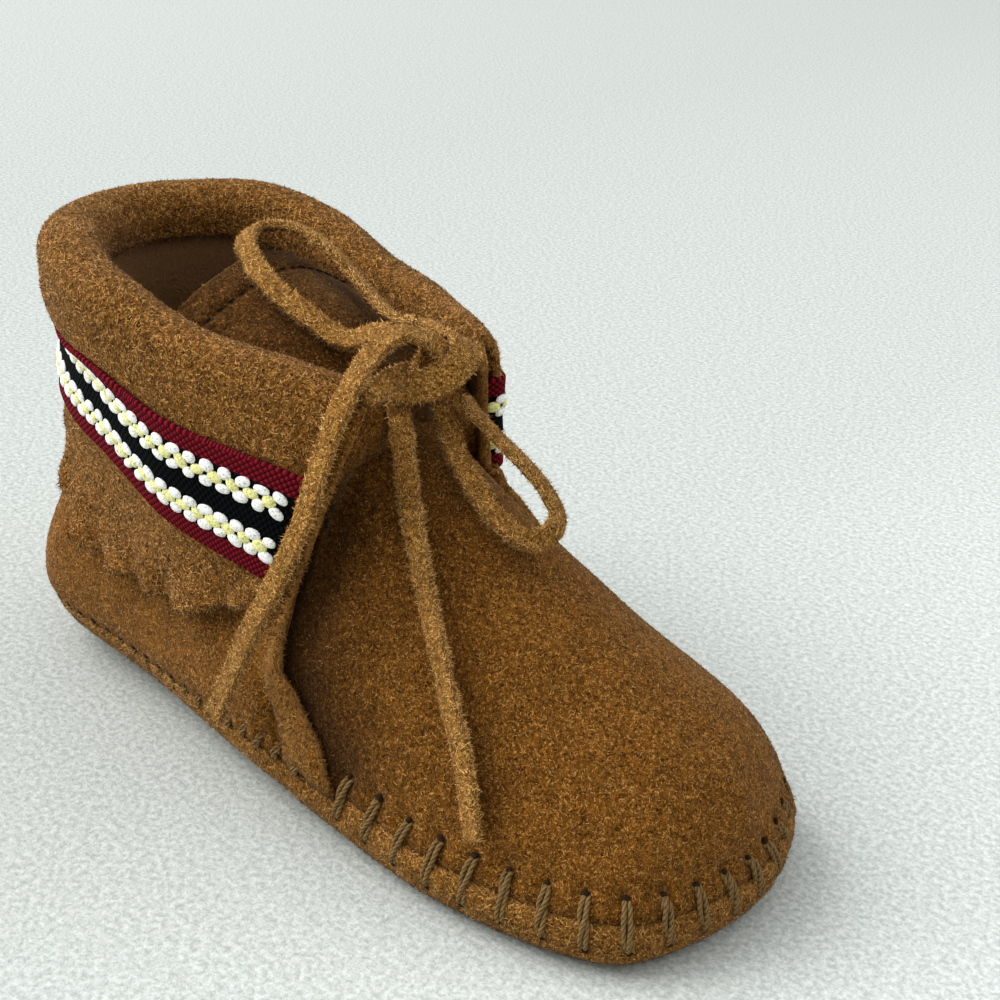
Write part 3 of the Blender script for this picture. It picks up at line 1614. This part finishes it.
@dataclass
class Upper:
    """Vamp and quarter. The quarter's wings lie over the vamp with their front edges free.

    Shares run along a wing from the heel (0) to its free edge (1), and heights from the seam to the top.
    """

    seam: WhipStitches
    cuff: Cuff
    thick: float = 1.8
    rows: int = 84
    vamp_columns: int = 130
    quarter_columns: int = 120
    under_lap: float = 0.10
    lap_columns: int = 9
    ridge_eased: Pair = (0.72, 0.97)
    ridge_rounds: int = 60
    crowded: float = 1.15
    over_vamp: Pair = (0.50, 0.86)
    flares: Pair = (0.90, 1.0)
    folds: tuple[Ridge, ...] = (Ridge(0.93, 0.05, 1.2), Ridge(0.80, 0.06, -0.8))
    folds_rise: Pair = (0.0, 0.07)
    folds_end: Pair = (0.22, 0.42)
    lumps: tuple[Lump, ...] = (Lump(22.0, 0.7, 11), Lump(9.0, 0.3, 12))
    lumps_clear: float = 14.0
    tuck: Ridge = Ridge(0.0, 1.1, -0.9)
    dimples: tuple[Fade, Fade] = (Fade(1.1, 2.0), Fade(0.9, 1.8))
    pucker: Ridge = Ridge(3.0, 3.5, 0.45)
    pucker_gaps: Fade = Fade(1.0, 4.2)
    low_soil: float = 0.25
    low_soil_from: float = 13.0
    low_soil_fades: float = 5.0
    seam_soil: Fade = Fade(0.7, 1.2)
    hem_shade: Fade = Fade(0.5, 3.6)
    worn: Fade = Fade(0.8, 2.2)
    worn_columns: tuple[int, int] = (-10, 9)
    worn_rows: tuple[int, int] = (3, 34)
    lined_from: Pair = (52.0, 60.0)
    wing_shades: tuple[Fade, Fade] = (Fade(0.75, 7.5), Fade(0.30, 17.0))
    wing_shade_column: int = 12
    wing_shade_rows: tuple[int, int, int] = (8, 60, 2)
    wing: tuple[WingEdge, ...] = (
        WingEdge(0.0, 6.50, 6.65, 0.0, 0.0), WingEdge(0.09, 6.28, 6.66, 0.3, 0.4),
        WingEdge(0.16, 5.66, 6.60, 0.8, 1.4), WingEdge(0.25, 4.86, 6.50, 1.2, 2.4),
        WingEdge(0.40, 4.52, 6.10, 1.5, 3.0), WingEdge(0.62, 4.16, 5.20, 0.9, 2.2),
        WingEdge(0.85, 4.02, 4.35, 0.2, 0.4), WingEdge(1.0, 4.00, 4.00, 0.0, 0.0),
    )

    def edges(self, height: Array) -> Array:
        """The wing edge's ribs and flares, by height."""
        rows = tuple((w.height, w.lateral, w.medial, w.lateral_flare, w.medial_flare) for w in self.wing)
        return table_curve(rows, height)

    def vamp_grid(self) -> Array:
        """Lay out the middle of the vamp's leather, smooth at the ridge.

        Returns:
            Points, from its lateral to its medial under-lap.
        """
        height = np.linspace(0.0, 1.0, self.rows)
        edge = self.edges(height)
        low = float(edge[0, :2].mean())
        even = LAST.even_ribs(low, TOE, self.vamp_columns)
        lap = np.linspace(-self.under_lap, 0.0, self.lap_columns)[:-1]
        shares = np.concatenate([lap, (even - low) / (TOE - low)])
        lateral = edge[None, :, 0] + (TOE - edge[None, :, 0]) * shares[:, None]
        medial = ROUND - (edge[None, :, 1] + (TOE - edge[None, :, 1]) * shares[-2::-1, None])
        ribs = np.concatenate([lateral, medial])
        first = np.mod(ribs[:, 0], ROUND)
        seam = LAST.rise_at_height(first, LAST.seam_at(first))
        rise = seam[:, None] + (1.0 - seam[:, None]) * height
        grid = LAST.skin(np.mod(ribs, ROUND), rise, -self.thick / 2.0)
        weight = between(height, *self.ridge_eased)[None, :, None]
        for _ in range(self.ridge_rounds):
            grid[:, -1] = (grid[:, -1] + grid[::-1, -1]) / 2.0
            up = np.concatenate([grid[:, 1:], grid[::-1, -2:-1]], axis=1)
            down = np.concatenate([grid[:, :1], grid[:, :-1]], axis=1)
            left = np.concatenate([grid[:1], grid[:-1]])
            right = np.concatenate([grid[1:], grid[-1:]])
            grid = grid + weight * 0.5 * ((up + down + left + right) / 4.0 - grid)
        grid[:, -1] = (grid[:, -1] + grid[::-1, -1]) / 2.0
        return grid

    def quarter_grid(self) -> Array:
        """Lay out the middle of the quarter's leather.

        Returns:
            Points, from the lateral wing's edge round the heel to the medial wing's.
        """
        height = np.linspace(0.0, 1.0, self.rows)
        edge = self.edges(height)
        shares = 1.0 - np.linspace(0.0, 1.0, self.quarter_columns) ** self.crowded
        fade = between(shares, *self.over_vamp)
        flare = between(shares, *self.flares) ** 1.4
        folded = between(height, *self.folds_rise) * (1.0 - between(height, *self.folds_end))
        fold = sum(ridge.over(shares) for ridge in self.folds)[:, None] * folded
        sides = []
        for side in (0, 1):
            ribs = edge[None, :, side] * shares[:, None]
            ribs = ribs if side == 0 else np.mod(ROUND - ribs, ROUND)
            seam = LAST.rise_at_height(ribs[:, 0], LAST.seam_at(ribs[:, 0]))
            rise = seam[:, None] + (1.0 - seam[:, None]) * height
            out = self.thick * fade[:, None] - self.thick / 2.0 + flare[:, None] * edge[None, :, 2 + side]
            sides.append(LAST.skin(ribs, rise, out + fold))
        return np.concatenate([sides[0][:-1], sides[1][::-1]])[::-1]

    def soften(self, grid: Array) -> Array:
        """Give a grid soft lumps and the dimples and puckers of the seam.

        Args:
            grid: the middle of the leather, each column from the seam up.

        Returns:
            The softened grid.
        """
        above = grid[..., 2] - grid[:, :1, 2]
        away = between(above, 0.0, self.lumps_clear)
        relief = 0.8 * layered(grid, self.lumps) * (0.25 + 0.75 * away) + self.tuck.over(above)
        ends = self.seam.ends()
        relief -= sum(dimple.near(grid, places) for dimple, places in zip(self.dimples, ends))
        relief += (1.0 - self.pucker_gaps.near(grid, ends[0])) * self.pucker.over(above)
        return grid + grid_normals(grid) * relief[..., None]

    def mark_vamp(self, surface: Surface) -> None:
        """Shade the vamp beside the lateral wing.

        Args:
            surface: the vamp, which gets the marks.
        """
        line = LAST.stand(self.vamp_grid()[self.wing_shade_column, slice(*self.wing_shade_rows)])
        for shade in self.wing_shades:
            surface.marks["soil"] += shade.near(surface.points, line)

    def mark_quarter(self, surface: Surface) -> None:
        """Shade the quarter along the cuff's hem, wear its folds pale and line its collar.

        Args:
            surface: the quarter, which gets the marks.
        """
        marks = surface.marks
        marks["soil"] += self.hem_shade.near(surface.points, LAST.stand(self.cuff.grid()[::5, -1]))
        grid = LAST.stand(self.quarter_grid())
        folds = np.concatenate([grid[column, slice(*self.worn_rows)] for column in self.worn_columns])
        worn = self.worn.near(surface.points, folds)
        marks["cut"] = np.maximum(marks["cut"], worn * (1.0 - marks["inner"]))
        marks["lined"] = marks["inner"] * between(surface.points[:, 2], *self.lined_from)

    def build(self) -> list[Thing]:
        """Make the vamp and the quarter.

        Returns:
            The two pieces, each followed by its nap.
        """
        pieces = []
        for name, grid, mark in (
            ("vamp", self.vamp_grid(), self.mark_vamp),
            ("quarter", self.quarter_grid(), self.mark_quarter),
        ):
            grid = LAST.stand(self.soften(grid))
            surface = leather_sheet(grid, self.thick)
            low = between(self.low_soil_from - surface.points[:, 2], 0.0, self.low_soil_fades)
            surface.marks["soil"] = low * self.low_soil + self.seam_soil.near(surface.points, grid[::2, 0])
            mark(surface)
            pieces.append(surface.place(name + "_leather", UPPER_SUEDE.material(), "suede"))
            pieces.append(Nap().grow(name + "_nap", UPPER_SUEDE, surface, "suede", len(pieces)))
        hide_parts("upper")
        return pieces


class FloatLine(Enum):
    """A line of floats across one light band of the braid: its yarn, place across and half-pitch shift."""

    UPPER = ("white", -1.3, 0.0)
    MIDDLE = ("yellow", 0.0, 0.5)
    LOWER = ("white", 1.3, 0.0)


@dataclass
class Braid:
    """The woven braid sewn round the cuff and folded at its ends, with rows of oval white and yellow floats.

    The tucked table gives, by rib from the heel, how deep its upper edge is tucked under the roll.
    """

    cuff: Cuff
    depths: Pair = (7.2, 25.6)
    thick: float = 1.0
    end: float = 3.84
    gap: float = 0.3
    columns: int = 420
    rows: int = 22
    pitch: float = 3.28
    bands: Pair = (5.3, 13.3)
    float_size: tuple[float, float, float] = (2.8, 2.0, 1.15)
    middle: float = 9.0
    margin: float = 1.0
    fold: float = 1.7
    mm_a_place: float = 70.0
    wraps: Pair = (-1.02, 1.065)
    end_drops: Pair = (2.0, -3.2)
    drops_from: Pair = (0.6, 0.7)
    tucked: Table = ((0.0, 3.2), (1.3, 3.2), (2.0, 1.9), (3.0, 0.6), (3.84, 0.0))

    def line(self, place: Array, across: Array, lift: float) -> Array:
        """Points on the braid.

        Args:
            place: from one front end (-1) to the other (1), one dimension.
            across: a row of distances down from its upper edge, in millimetres.
            lift: distance out from the cuff's leather.

        Returns:
            The points (places, distances, 3).
        """
        inside = np.clip(place, -1.0, 1.0)
        rib = np.mod(-inside * self.end, ROUND)
        (lateral, medial), starts = self.end_drops, self.drops_from
        drop = lateral * between(-inside, starts[0], 1.0) + medial * between(inside, starts[1], 1.0)
        depth = self.depths[0] + across + drop[:, None]
        out = self.cuff.out(rib[:, None], depth) + self.cuff.thick / 2.0 + self.gap
        flat = self.cuff.on_quarter(rib, depth, out)
        square = self.cuff.square(rib)[:, None]
        ahead = np.stack([square[..., 1], -square[..., 0], np.zeros(square.shape[:-1])], -1)
        turn = ((place - inside) * self.mm_a_place / self.fold)[:, None, None]
        round_end = self.fold * (np.cos(turn) - 1.0)
        outward = square * np.cos(turn) + ahead * np.sin(turn)
        return flat + square * round_end + ahead * self.fold * np.sin(turn) + outward * lift

    def ground(self) -> Surface:
        """Lay out the woven ground.

        Returns:
            Its surface, with uv along and across it.
        """
        place = np.linspace(*self.wraps, self.columns)
        under = table_curve(self.tucked, np.minimum(np.abs(place), 1.0) * self.end)
        across = under + (self.depths[1] - self.depths[0] - under) * np.linspace(0.0, 1.0, self.rows)
        grid = self.line(place, across, self.thick / 2.0)
        reach = distances(grid[:, self.rows // 2])
        uv = np.stack(np.broadcast_arrays(reach[:, None], across), -1)
        return leather_sheet(grid, self.thick, uv=uv)

    def floats(self, yarn: str) -> Surface:
        """Every float of one yarn.

        Args:
            yarn: white or yellow.

        Returns:
            The floats as one surface.
        """
        fine = np.linspace(*self.wraps, 900)
        reach = distances(self.line(fine, np.array([[self.middle]]), self.thick)[:, 0])
        count = int((reach[-1] - 2.0 * self.margin) / self.pitch)
        start = (reach[-1] - count * self.pitch) / 2.0
        steps = ((0.0, 0.0), (0.002, 0.0), (0.0, 0.3))  # none, along and down, to read the directions
        lines = []
        for band in self.bands:
            for float_line in FloatLine:
                name, offset, shift = float_line.value
                if name != yarn:
                    continue
                at = (np.arange(count) + 0.5 + shift) * self.pitch + start
                place = np.interp(at[at < reach[-1] - self.margin], reach, fine)
                here, ahead, lower = (
                    self.line(place + along, np.array([[band + offset + down]]), self.thick)[:, 0]
                    for along, down in steps
                )
                seed = int(band * 7 + offset * 3 + 9)  # another one for each line
                lines.append(ovals(here, unit(ahead - here), unit(lower - here), self.float_size, seed))
        return as_one(lines)

    def build(self) -> list[Thing]:
        """Make the braid's ground and floats.

        Returns:
            Its pieces.
        """
        ground = self.ground().place("braid_ground", BraidGround().material(), "braid")
        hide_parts("braid_trim")
        white = self.floats("white").place("braid_white_floats", WHITE_FLOAT.material(), "braid")
        yellow = self.floats("yellow").place("braid_yellow_floats", YELLOW_FLOAT.material(), "braid")
        return [ground, white, yellow]


@dataclass
class Tongue:
    """The loose tongue, arched across and laid back from the vamp into the collar.

    Its table gives, by place from the vamp, x and z of its middle, half its width and the drop of its edges.
    """

    thick: float = 1.8
    rows: int = 90
    columns: int = 64
    edge_back: float = 1.5
    arch_power: float = 1.6
    lumps: tuple[Lump, ...] = (Lump(14.0, 0.5, 31), Lump(6.0, 0.25, 32))
    groove: Ridge = Ridge(4.42, 0.06, -0.5)
    hem_starts: Pair = (4.45, 4.6)
    hem_step: float = 0.35
    soil: float = 0.72
    stitches: int = 15
    stitched_to: float = 0.93
    stitch_size: tuple[float, float, float] = (1.5, 0.45, 0.5)
    table: Table = (
        (0.0, 77.0, 63.0, 6.5, 1.8), (1.0, 71.0, 66.2, 9.0, 2.4), (2.0, 65.0, 69.8, 12.0, 3.2),
        (3.0, 58.0, 74.0, 14.0, 4.2), (4.0, 48.0, 77.6, 15.8, 6.0), (5.0, 37.5, 79.6, 16.8, 7.6),
    )

    def over(self, along: Array, across: Array) -> Array:
        """Points of its upper face.

        Args:
            along: from the vamp (0) to the top edge (5).
            across: from the lateral edge (-1) to the medial edge (1).

        Returns:
            The points.
        """
        x, z, half_width, drop = np.moveaxis(table_curve(self.table, along), -1, 0)
        arched = z - drop * np.abs(across) ** self.arch_power
        return np.stack([x - self.edge_back * across**2, across * half_width, arched], -1)

    def build(self) -> list[Thing]:
        """Make the tongue and its hem stitching.

        Returns:
            Its pieces.
        """
        along = np.linspace(0.0, 5.0, self.rows)[None, :]
        across = np.linspace(-1.0, 1.0, self.columns)[:, None]
        along, across = np.broadcast_arrays(along, across)
        grid = self.over(along, across)
        relief = layered(grid, self.lumps) + self.groove.over(along)
        relief = relief + self.hem_step * between(along, *self.hem_starts)
        middle = grid - grid_normals(grid) * (self.thick / 2.0 - relief)[..., None]
        surface = leather_sheet(middle, self.thick)
        surface.marks["soil"] = np.full(len(surface.points), self.soil)
        tongue = surface.place("tongue_leather", UPPER_SUEDE.material(), "suede")
        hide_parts("tongue")
        return [tongue, Nap().grow("tongue_nap", UPPER_SUEDE, surface, "suede", 51), self.hem_stitches()]

    def hem_stitches(self) -> Thing:
        """Make the small stitches along the hem at its top edge.

        Returns:
            The piece.
        """
        across = np.linspace(-self.stitched_to, self.stitched_to, self.stitches)
        along = np.full(len(across), self.groove.at)
        step = 1e-2
        here = self.over(along, across)
        ahead, lower = self.over(along, across + step), self.over(along - step, across)
        stitches = ovals(here, unit(ahead - here), unit(lower - here), self.stitch_size, 8)
        return stitches.place("tongue_hem_stitches", HOLE_SHADE.material(), "suede")


@dataclass
class Insole:
    """The thin sock inside on the sole."""

    thick: float = 1.5
    spares: float = 0.8
    gap: float = 0.3
    half_columns: int = 90
    rings: int = 15

    def build(self, sole: Sole) -> list[Thing]:
        """Make the insole.

        Args:
            sole: the sole it lies on.

        Returns:
            The insole.
        """
        ribs = LAST.all_round(self.half_columns)
        inset = LAST.top_line(ribs)[1][3] - self.spares
        edge = LAST.outline(ribs) - LAST.outward(ribs) * inset[:, None]
        middle = sole.middle_line(ribs)
        shares = np.linspace(0.0, 1.0, self.rings)
        rings = middle[:, None] + (edge[:, None] - middle[:, None]) * shares[None, :, None]
        height = sole.thick + self.gap + self.thick / 2.0
        grid = LAST.stand(np.concatenate([rings, np.full(rings.shape[:2] + (1,), height)], -1))
        surface = leather_sheet(grid, self.thick, closed=True)
        insole = surface.place("insole_sock", LINING_SUEDE.material(), "insole")
        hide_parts("insole")
        return [insole]


@dataclass(frozen=True)
class ThongRun:
    """One free stretch of the thong, from the knot outwards.

    It has the piece's name, the solid it stands for, its middle line, the direction that its broad face
    looks in at points evenly spread along it, and what its far end is.
    """

    name: str
    node: str
    route: Route
    facing: Route
    ends_in: str


LOOP_LEFT = ThongRun(
    "thong_loop_left",
    "lace_loop_left",
    (
        (73.0, -3.4, 76.4), (69.5, -4.4, 75.2), (65.6, -5.2, 73.2), (61.5, -6.0, 73.7), (55.5, -7.0, 76.0),
        (50.0, -7.5, 78.0), (44.0, -6.5, 80.3), (38.3, -3.5, 82.2), (35.1, 1.0, 83.0), (35.9, 5.0, 83.2),
        (40.1, 7.0, 83.1), (46.5, 8.0, 80.8), (53.9, 8.0, 77.0), (61.4, 6.5, 74.6), (67.0, 5.0, 74.6),
        (73.2, 3.4, 76.4),
    ),
    ((0.3, -0.5, 1.0), (0.3, -0.6, 0.9), (-0.6, 0.0, 0.9), (0.3, 0.6, 0.9), (0.3, 0.3, 1.0)),
    "knot",
)
LOOP_RIGHT = ThongRun(
    "thong_loop_right",
    "lace_loop_right",
    (
        (79.0, 2.2, 64.6), (82.0, 0.8, 61.8), (86.2, -1.2, 58.3), (91.4, -2.5, 55.3), (95.6, -3.4, 53.0),
        (99.9, -3.1, 51.1), (102.8, -1.5, 50.4), (104.0, 0.8, 51.4), (102.8, 3.8, 52.7), (99.9, 4.2, 55.8),
        (96.1, 4.0, 58.5), (90.3, 4.0, 61.2), (86.1, 3.6, 63.6), (82.2, 3.9, 66.0),
    ),
    ((0.5, -0.4, 0.8), (0.5, -0.4, 0.8), (0.8, 0.2, 0.2), (0.5, 0.4, 0.8), (0.5, 0.4, 0.8)),
    "knot",
)
TAIL_LEFT = ThongRun(
    "thong_tail_left",
    "lace_tail_left",
    (
        (79.4, -2.6, 76.8), (77.4, -6.0, 78.0), (77.2, -10.0, 77.0), (78.0, -14.4, 75.2), (79.8, -19.6, 72.4),
        (80.8, -23.2, 68.8), (81.6, -27.0, 62.9), (81.4, -29.5, 56.2), (80.9, -32.0, 51.1),
        (79.1, -34.0, 44.3), (76.3, -35.0, 38.3), (72.0, -35.5, 28.5), (66.8, -35.5, 16.7),
    ),
    ((0.2, 0.0, 1.0), (0.1, -0.4, 1.0), (0.0, -0.85, 0.55), (0.0, -0.94, 0.35), (0.0, -0.94, 0.35),
     (0.0, -0.94, 0.35)),
    "bare",
)
TAIL_CENTRE = ThongRun(
    "thong_tail_centre",
    "lace_tail_centre",
    (
        (75.9, -4.8, 65.6), (78.4, -6.5, 62.4), (81.3, -8.5, 58.9), (84.6, -10.8, 55.1), (89.2, -13.8, 49.9),
        (94.7, -17.1, 44.3), (100.0, -19.9, 38.9), (105.7, -22.8, 32.2), (110.3, -24.9, 26.7),
        (114.3, -27.2, 21.4), (117.6, -29.4, 16.2),
    ),
    ((0.4, -0.6, 0.6), (0.0, -0.88, 0.42), (-0.2, -0.93, 0.29), (-0.2, -0.93, 0.29)),
    "bare",
)
BAR_LEFT: Route = ((78.9, -15.6, 70.2), (78.6, -12.0, 70.8), (77.8, -8.4, 71.1), (77.0, -4.0, 70.9))
BAR_RIGHT: Route = ((78.4, 12.2, 70.4), (78.1, 10.6, 70.7), (77.6, 8.6, 70.9), (77.0, 4.0, 70.9))


@dataclass
class Bow:
    """The flat suede thong, tied in a bow in front of the collar's open ends."""

    wide: float = 3.6
    thick: float = 1.5
    spacing: float = 0.7
    around: int = 20
    squareness: float = 6.5
    straps_apart: float = 3.7
    wide_lumps: tuple[Lump, ...] = (Lump(6.0, 0.05, 0), Lump(2.0, 0.04, 9))
    thick_lumps: tuple[Lump, ...] = (Lump(4.0, 0.10, 5),)
    rough_lumps: tuple[Lump, ...] = (Lump(1.4, 0.16, 3), Lump(0.7, 0.08, 4))
    nap: Nap = Nap(density=5.0, length=(0.25, 0.95), wide=0.14, lift=0.7, edge_share=3.5)
    knot_wraps: tuple[tuple[Route, Route, float], ...] = (
        (
            ((74.5, -4.0, 69.0), (78.0, -5.4, 69.2), (81.4, -3.4, 70.2), (83.2, -0.4, 72.2),
             (82.8, 2.6, 74.4), (80.0, 4.2, 75.4), (76.6, 3.6, 75.0)),
            ((0.3, -0.9, 0.3), (0.7, -0.6, 0.4), (0.8, -0.4, 0.5), (0.6, 0.3, 0.7), (0.2, 0.6, 0.7)),
            5.2,
        ),
        (
            ((79.4, -2.6, 76.8), (80.9, -0.9, 75.2), (81.2, 0.2, 72.6), (80.2, 0.6, 70.0), (78.8, 0.6, 67.4),
             (77.0, 0.6, 65.8)),
            ((0.2, 0.0, 1.0), (0.9, -0.1, 0.5), (1.0, 0.0, 0.0), (0.8, 0.0, -0.5)),
            3.6,
        ),
        (
            ((73.2, 3.4, 76.4), (76.4, 2.6, 76.0), (78.2, -0.4, 74.0), (78.8, -2.6, 71.4), (77.6, -4.2, 68.4),
             (75.9, -4.8, 65.6)),
            ((0.2, 0.2, 1.0), (0.7, -0.1, 0.8), (1.0, -0.2, 0.1), (0.8, -0.3, -0.4)),
            3.6,
        ),
    )

    def strap(self, route: Route, facing: Route, seed: int = 0, wide: float = 0.0) -> tuple[Surface, Array]:
        """A stretch of thong.

        Args:
            route: its middle line.
            facing: the direction its broad face looks in, at points evenly spread along it.
            seed: picks the small wobble of its cut.
            wide: its width, where it isn't the thong's own.

        Returns:
            Its surface and its path.
        """
        path = smooth_route(route, self.spacing)
        at = np.linspace(0.0, 1.0, len(path))
        hints = np.array(facing, float)
        places = np.linspace(0.0, 1.0, len(hints))
        looks = unit(np.stack([np.interp(at, places, hints[:, axis]) for axis in range(3)], -1))
        apart = np.full(len(at), self.straps_apart * seed)
        line = np.stack([at * path_length(path), np.zeros(len(at)), apart], -1)
        wide = (wide or self.wide) * (1.0 + layered(line, self.wide_lumps, seed))
        thick = self.thick * (1.0 + layered(line, self.thick_lumps, seed))
        surface = swept(path, looks, wide, thick, self.around, self.squareness)
        rough = layered(surface.points, self.rough_lumps, seed)
        centre = np.concatenate([np.repeat(path, self.around, axis=0), path[:1], path[-1:]])
        surface.points = surface.points + unit(surface.points - centre) * rough[:, None]
        return surface, path

    def build_run(self, run: ThongRun, seed: int) -> tuple[Thing, Surface]:
        """Args:
            run: the stretch.
            seed: picks the small wobble of its cut.

        Returns:
            The piece and its surface.
        """
        surface, path = self.strap(run.route, run.facing, seed=seed)
        piece = surface.place(run.name, THONG_SUEDE.material(), "thong")
        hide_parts(run.node)
        return piece, surface

    def build(self) -> list[Thing]:
        """Make the bars, the knot, both loops and both tails.

        Returns:
            The pieces.
        """
        bars, surfaces = [], []
        for name, node, route, look in (
            ("thong_bar_left", "lace_bar_left", BAR_LEFT, (0.8, -0.1, 0.6)),
            ("thong_bar_right", "lace_bar_right", BAR_RIGHT, (0.8, 0.1, 0.6)),
        ):
            surface, _ = self.strap(route, (look, look), seed=len(bars) + 40)
            bar = surface.place(name, THONG_SUEDE.material(), "thong")
            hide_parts(node)
            bars.append(bar)
            surfaces.append(surface)
        wraps = as_one([
            self.strap(route, facing, seed + 50, wide)[0]
            for seed, (route, facing, wide) in enumerate(self.knot_wraps)
        ])
        knot = wraps.place("thong_knot", THONG_SUEDE.material(), "thong")
        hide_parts("lace_knot")
        surfaces.append(wraps)
        runs = []
        for seed, run in enumerate((LOOP_LEFT, LOOP_RIGHT, TAIL_LEFT, TAIL_CENTRE)):
            piece, surface = self.build_run(run, seed)
            runs.append(piece)
            surfaces.append(surface)
        nap = self.nap.grow("thong_nap", THONG_SUEDE, as_one(surfaces), "thong", 71)
        return [*bars, knot, *runs, nap]


# ---- stage


@dataclass(frozen=True)
class Lamp:
    """A square area light: its name, place in metres, power in watts and size in metres."""

    name: str
    place: tuple[float, float, float]
    power: float
    size: float


@dataclass
class Studio:
    """A pale floor, soft light and the camera. Places and sizes are in metres, angles in degrees."""

    azimuth: float = 40.0
    elevation: float = 26.0
    roll: float = 3.5
    distance: float = 0.300
    focal: float = 59.4
    sensor: float = 36.0
    clip_start: float = 0.01
    target: tuple[float, float, float] = (-0.000883, 0.028451, 0.0354)
    floor_size: float = 4.0
    lamps: tuple[Lamp, ...] = (
        Lamp("window", (-2.32, -1.15, 2.0), 138.0, 3.2),
        Lamp("behind", (0.9, 1.2, 1.2), 5.0, 1.6),
    )
    lamps_aim: tuple[float, float, float] = (0.0, 0.0, 0.03)
    surround: Colour = (0.95, 0.97, 1.0)
    surround_power: float = 0.76

    def camera(self) -> Thing:
        """Set the camera up at the object's usual viewing angle.

        Returns:
            The scene's camera.
        """
        a, e, turn = (math.radians(value) for value in (self.azimuth, self.elevation, self.roll))
        back = Vector((math.sin(a) * math.cos(e), -math.cos(a) * math.cos(e), math.sin(e)))
        right = Vector((math.cos(a), math.sin(a), 0.0))
        up = back.cross(right)
        across = right * math.cos(turn) + up * math.sin(turn)
        upward = up * math.cos(turn) - right * math.sin(turn)
        place = Vector(self.target) + back * self.distance
        data = bpy.data.cameras.new("camera")
        data.lens, data.sensor_width, data.clip_start = self.focal, self.sensor, self.clip_start
        camera = bpy.data.objects.new("camera", data)
        axes = Matrix((across, upward, back)).transposed().to_4x4()
        camera.matrix_world = Matrix.Translation(place) @ axes
        bpy.context.scene.collection.objects.link(camera)
        bpy.context.scene.camera = camera
        return camera

    def floor(self) -> Thing:
        """Lay the plain pale floor.

        Returns:
            The floor, which is no piece of the shoe.
        """
        half = self.floor_size / 2.0
        mesh = bpy.data.meshes.new("floor")
        corners = [(-half, -half, 0.0), (half, -half, 0.0), (half, half, 0.0), (-half, half, 0.0)]
        mesh.from_pydata(corners, [], [(0, 1, 2, 3)])
        mesh.materials.append(FloorPaint().material())
        floor = bpy.data.objects.new("floor", mesh)
        bpy.context.scene.collection.objects.link(floor)
        return floor

    def lights(self) -> None:
        """Hang the lamps and light the surround."""
        for lamp in self.lamps:
            data = bpy.data.lights.new(lamp.name, "AREA")
            data.energy, data.size = lamp.power, lamp.size
            light = bpy.data.objects.new(lamp.name, data)
            light.location = lamp.place
            direction = Vector(self.lamps_aim) - Vector(lamp.place)
            light.rotation_euler = direction.to_track_quat("-Z", "Y").to_euler()
            bpy.context.scene.collection.objects.link(light)
        world = bpy.data.worlds.new("surround")
        world.use_nodes = True
        background = world.node_tree.nodes["Background"]
        background.inputs["Color"].default_value = (*self.surround, 1.0)
        background.inputs["Strength"].default_value = self.surround_power
        bpy.context.scene.world = world

    def build(self) -> None:
        """Set the stage."""
        view = bpy.context.scene.view_settings
        view.view_transform, view.look = "Standard", "Medium High Contrast"
        self.camera()
        self.floor()
        self.lights()


def main() -> None:
    """Dress the bootie."""
    logging.basicConfig(level=logging.INFO, format="%(message)s")
    Studio().build()
    seam, cuff = WhipStitches(), Cuff()
    sole = Sole(seam)
    pieces = Bow().build() + seam.build() + sole.build() + Upper(seam, cuff).build()
    pieces += cuff.build() + Braid(cuff).build() + Tongue().build() + Insole().build(sole)
    for piece in pieces:
        LOG.info("%s: %d faces", piece.name, len(piece.data.polygons))


if __name__ == "__main__":
    main()
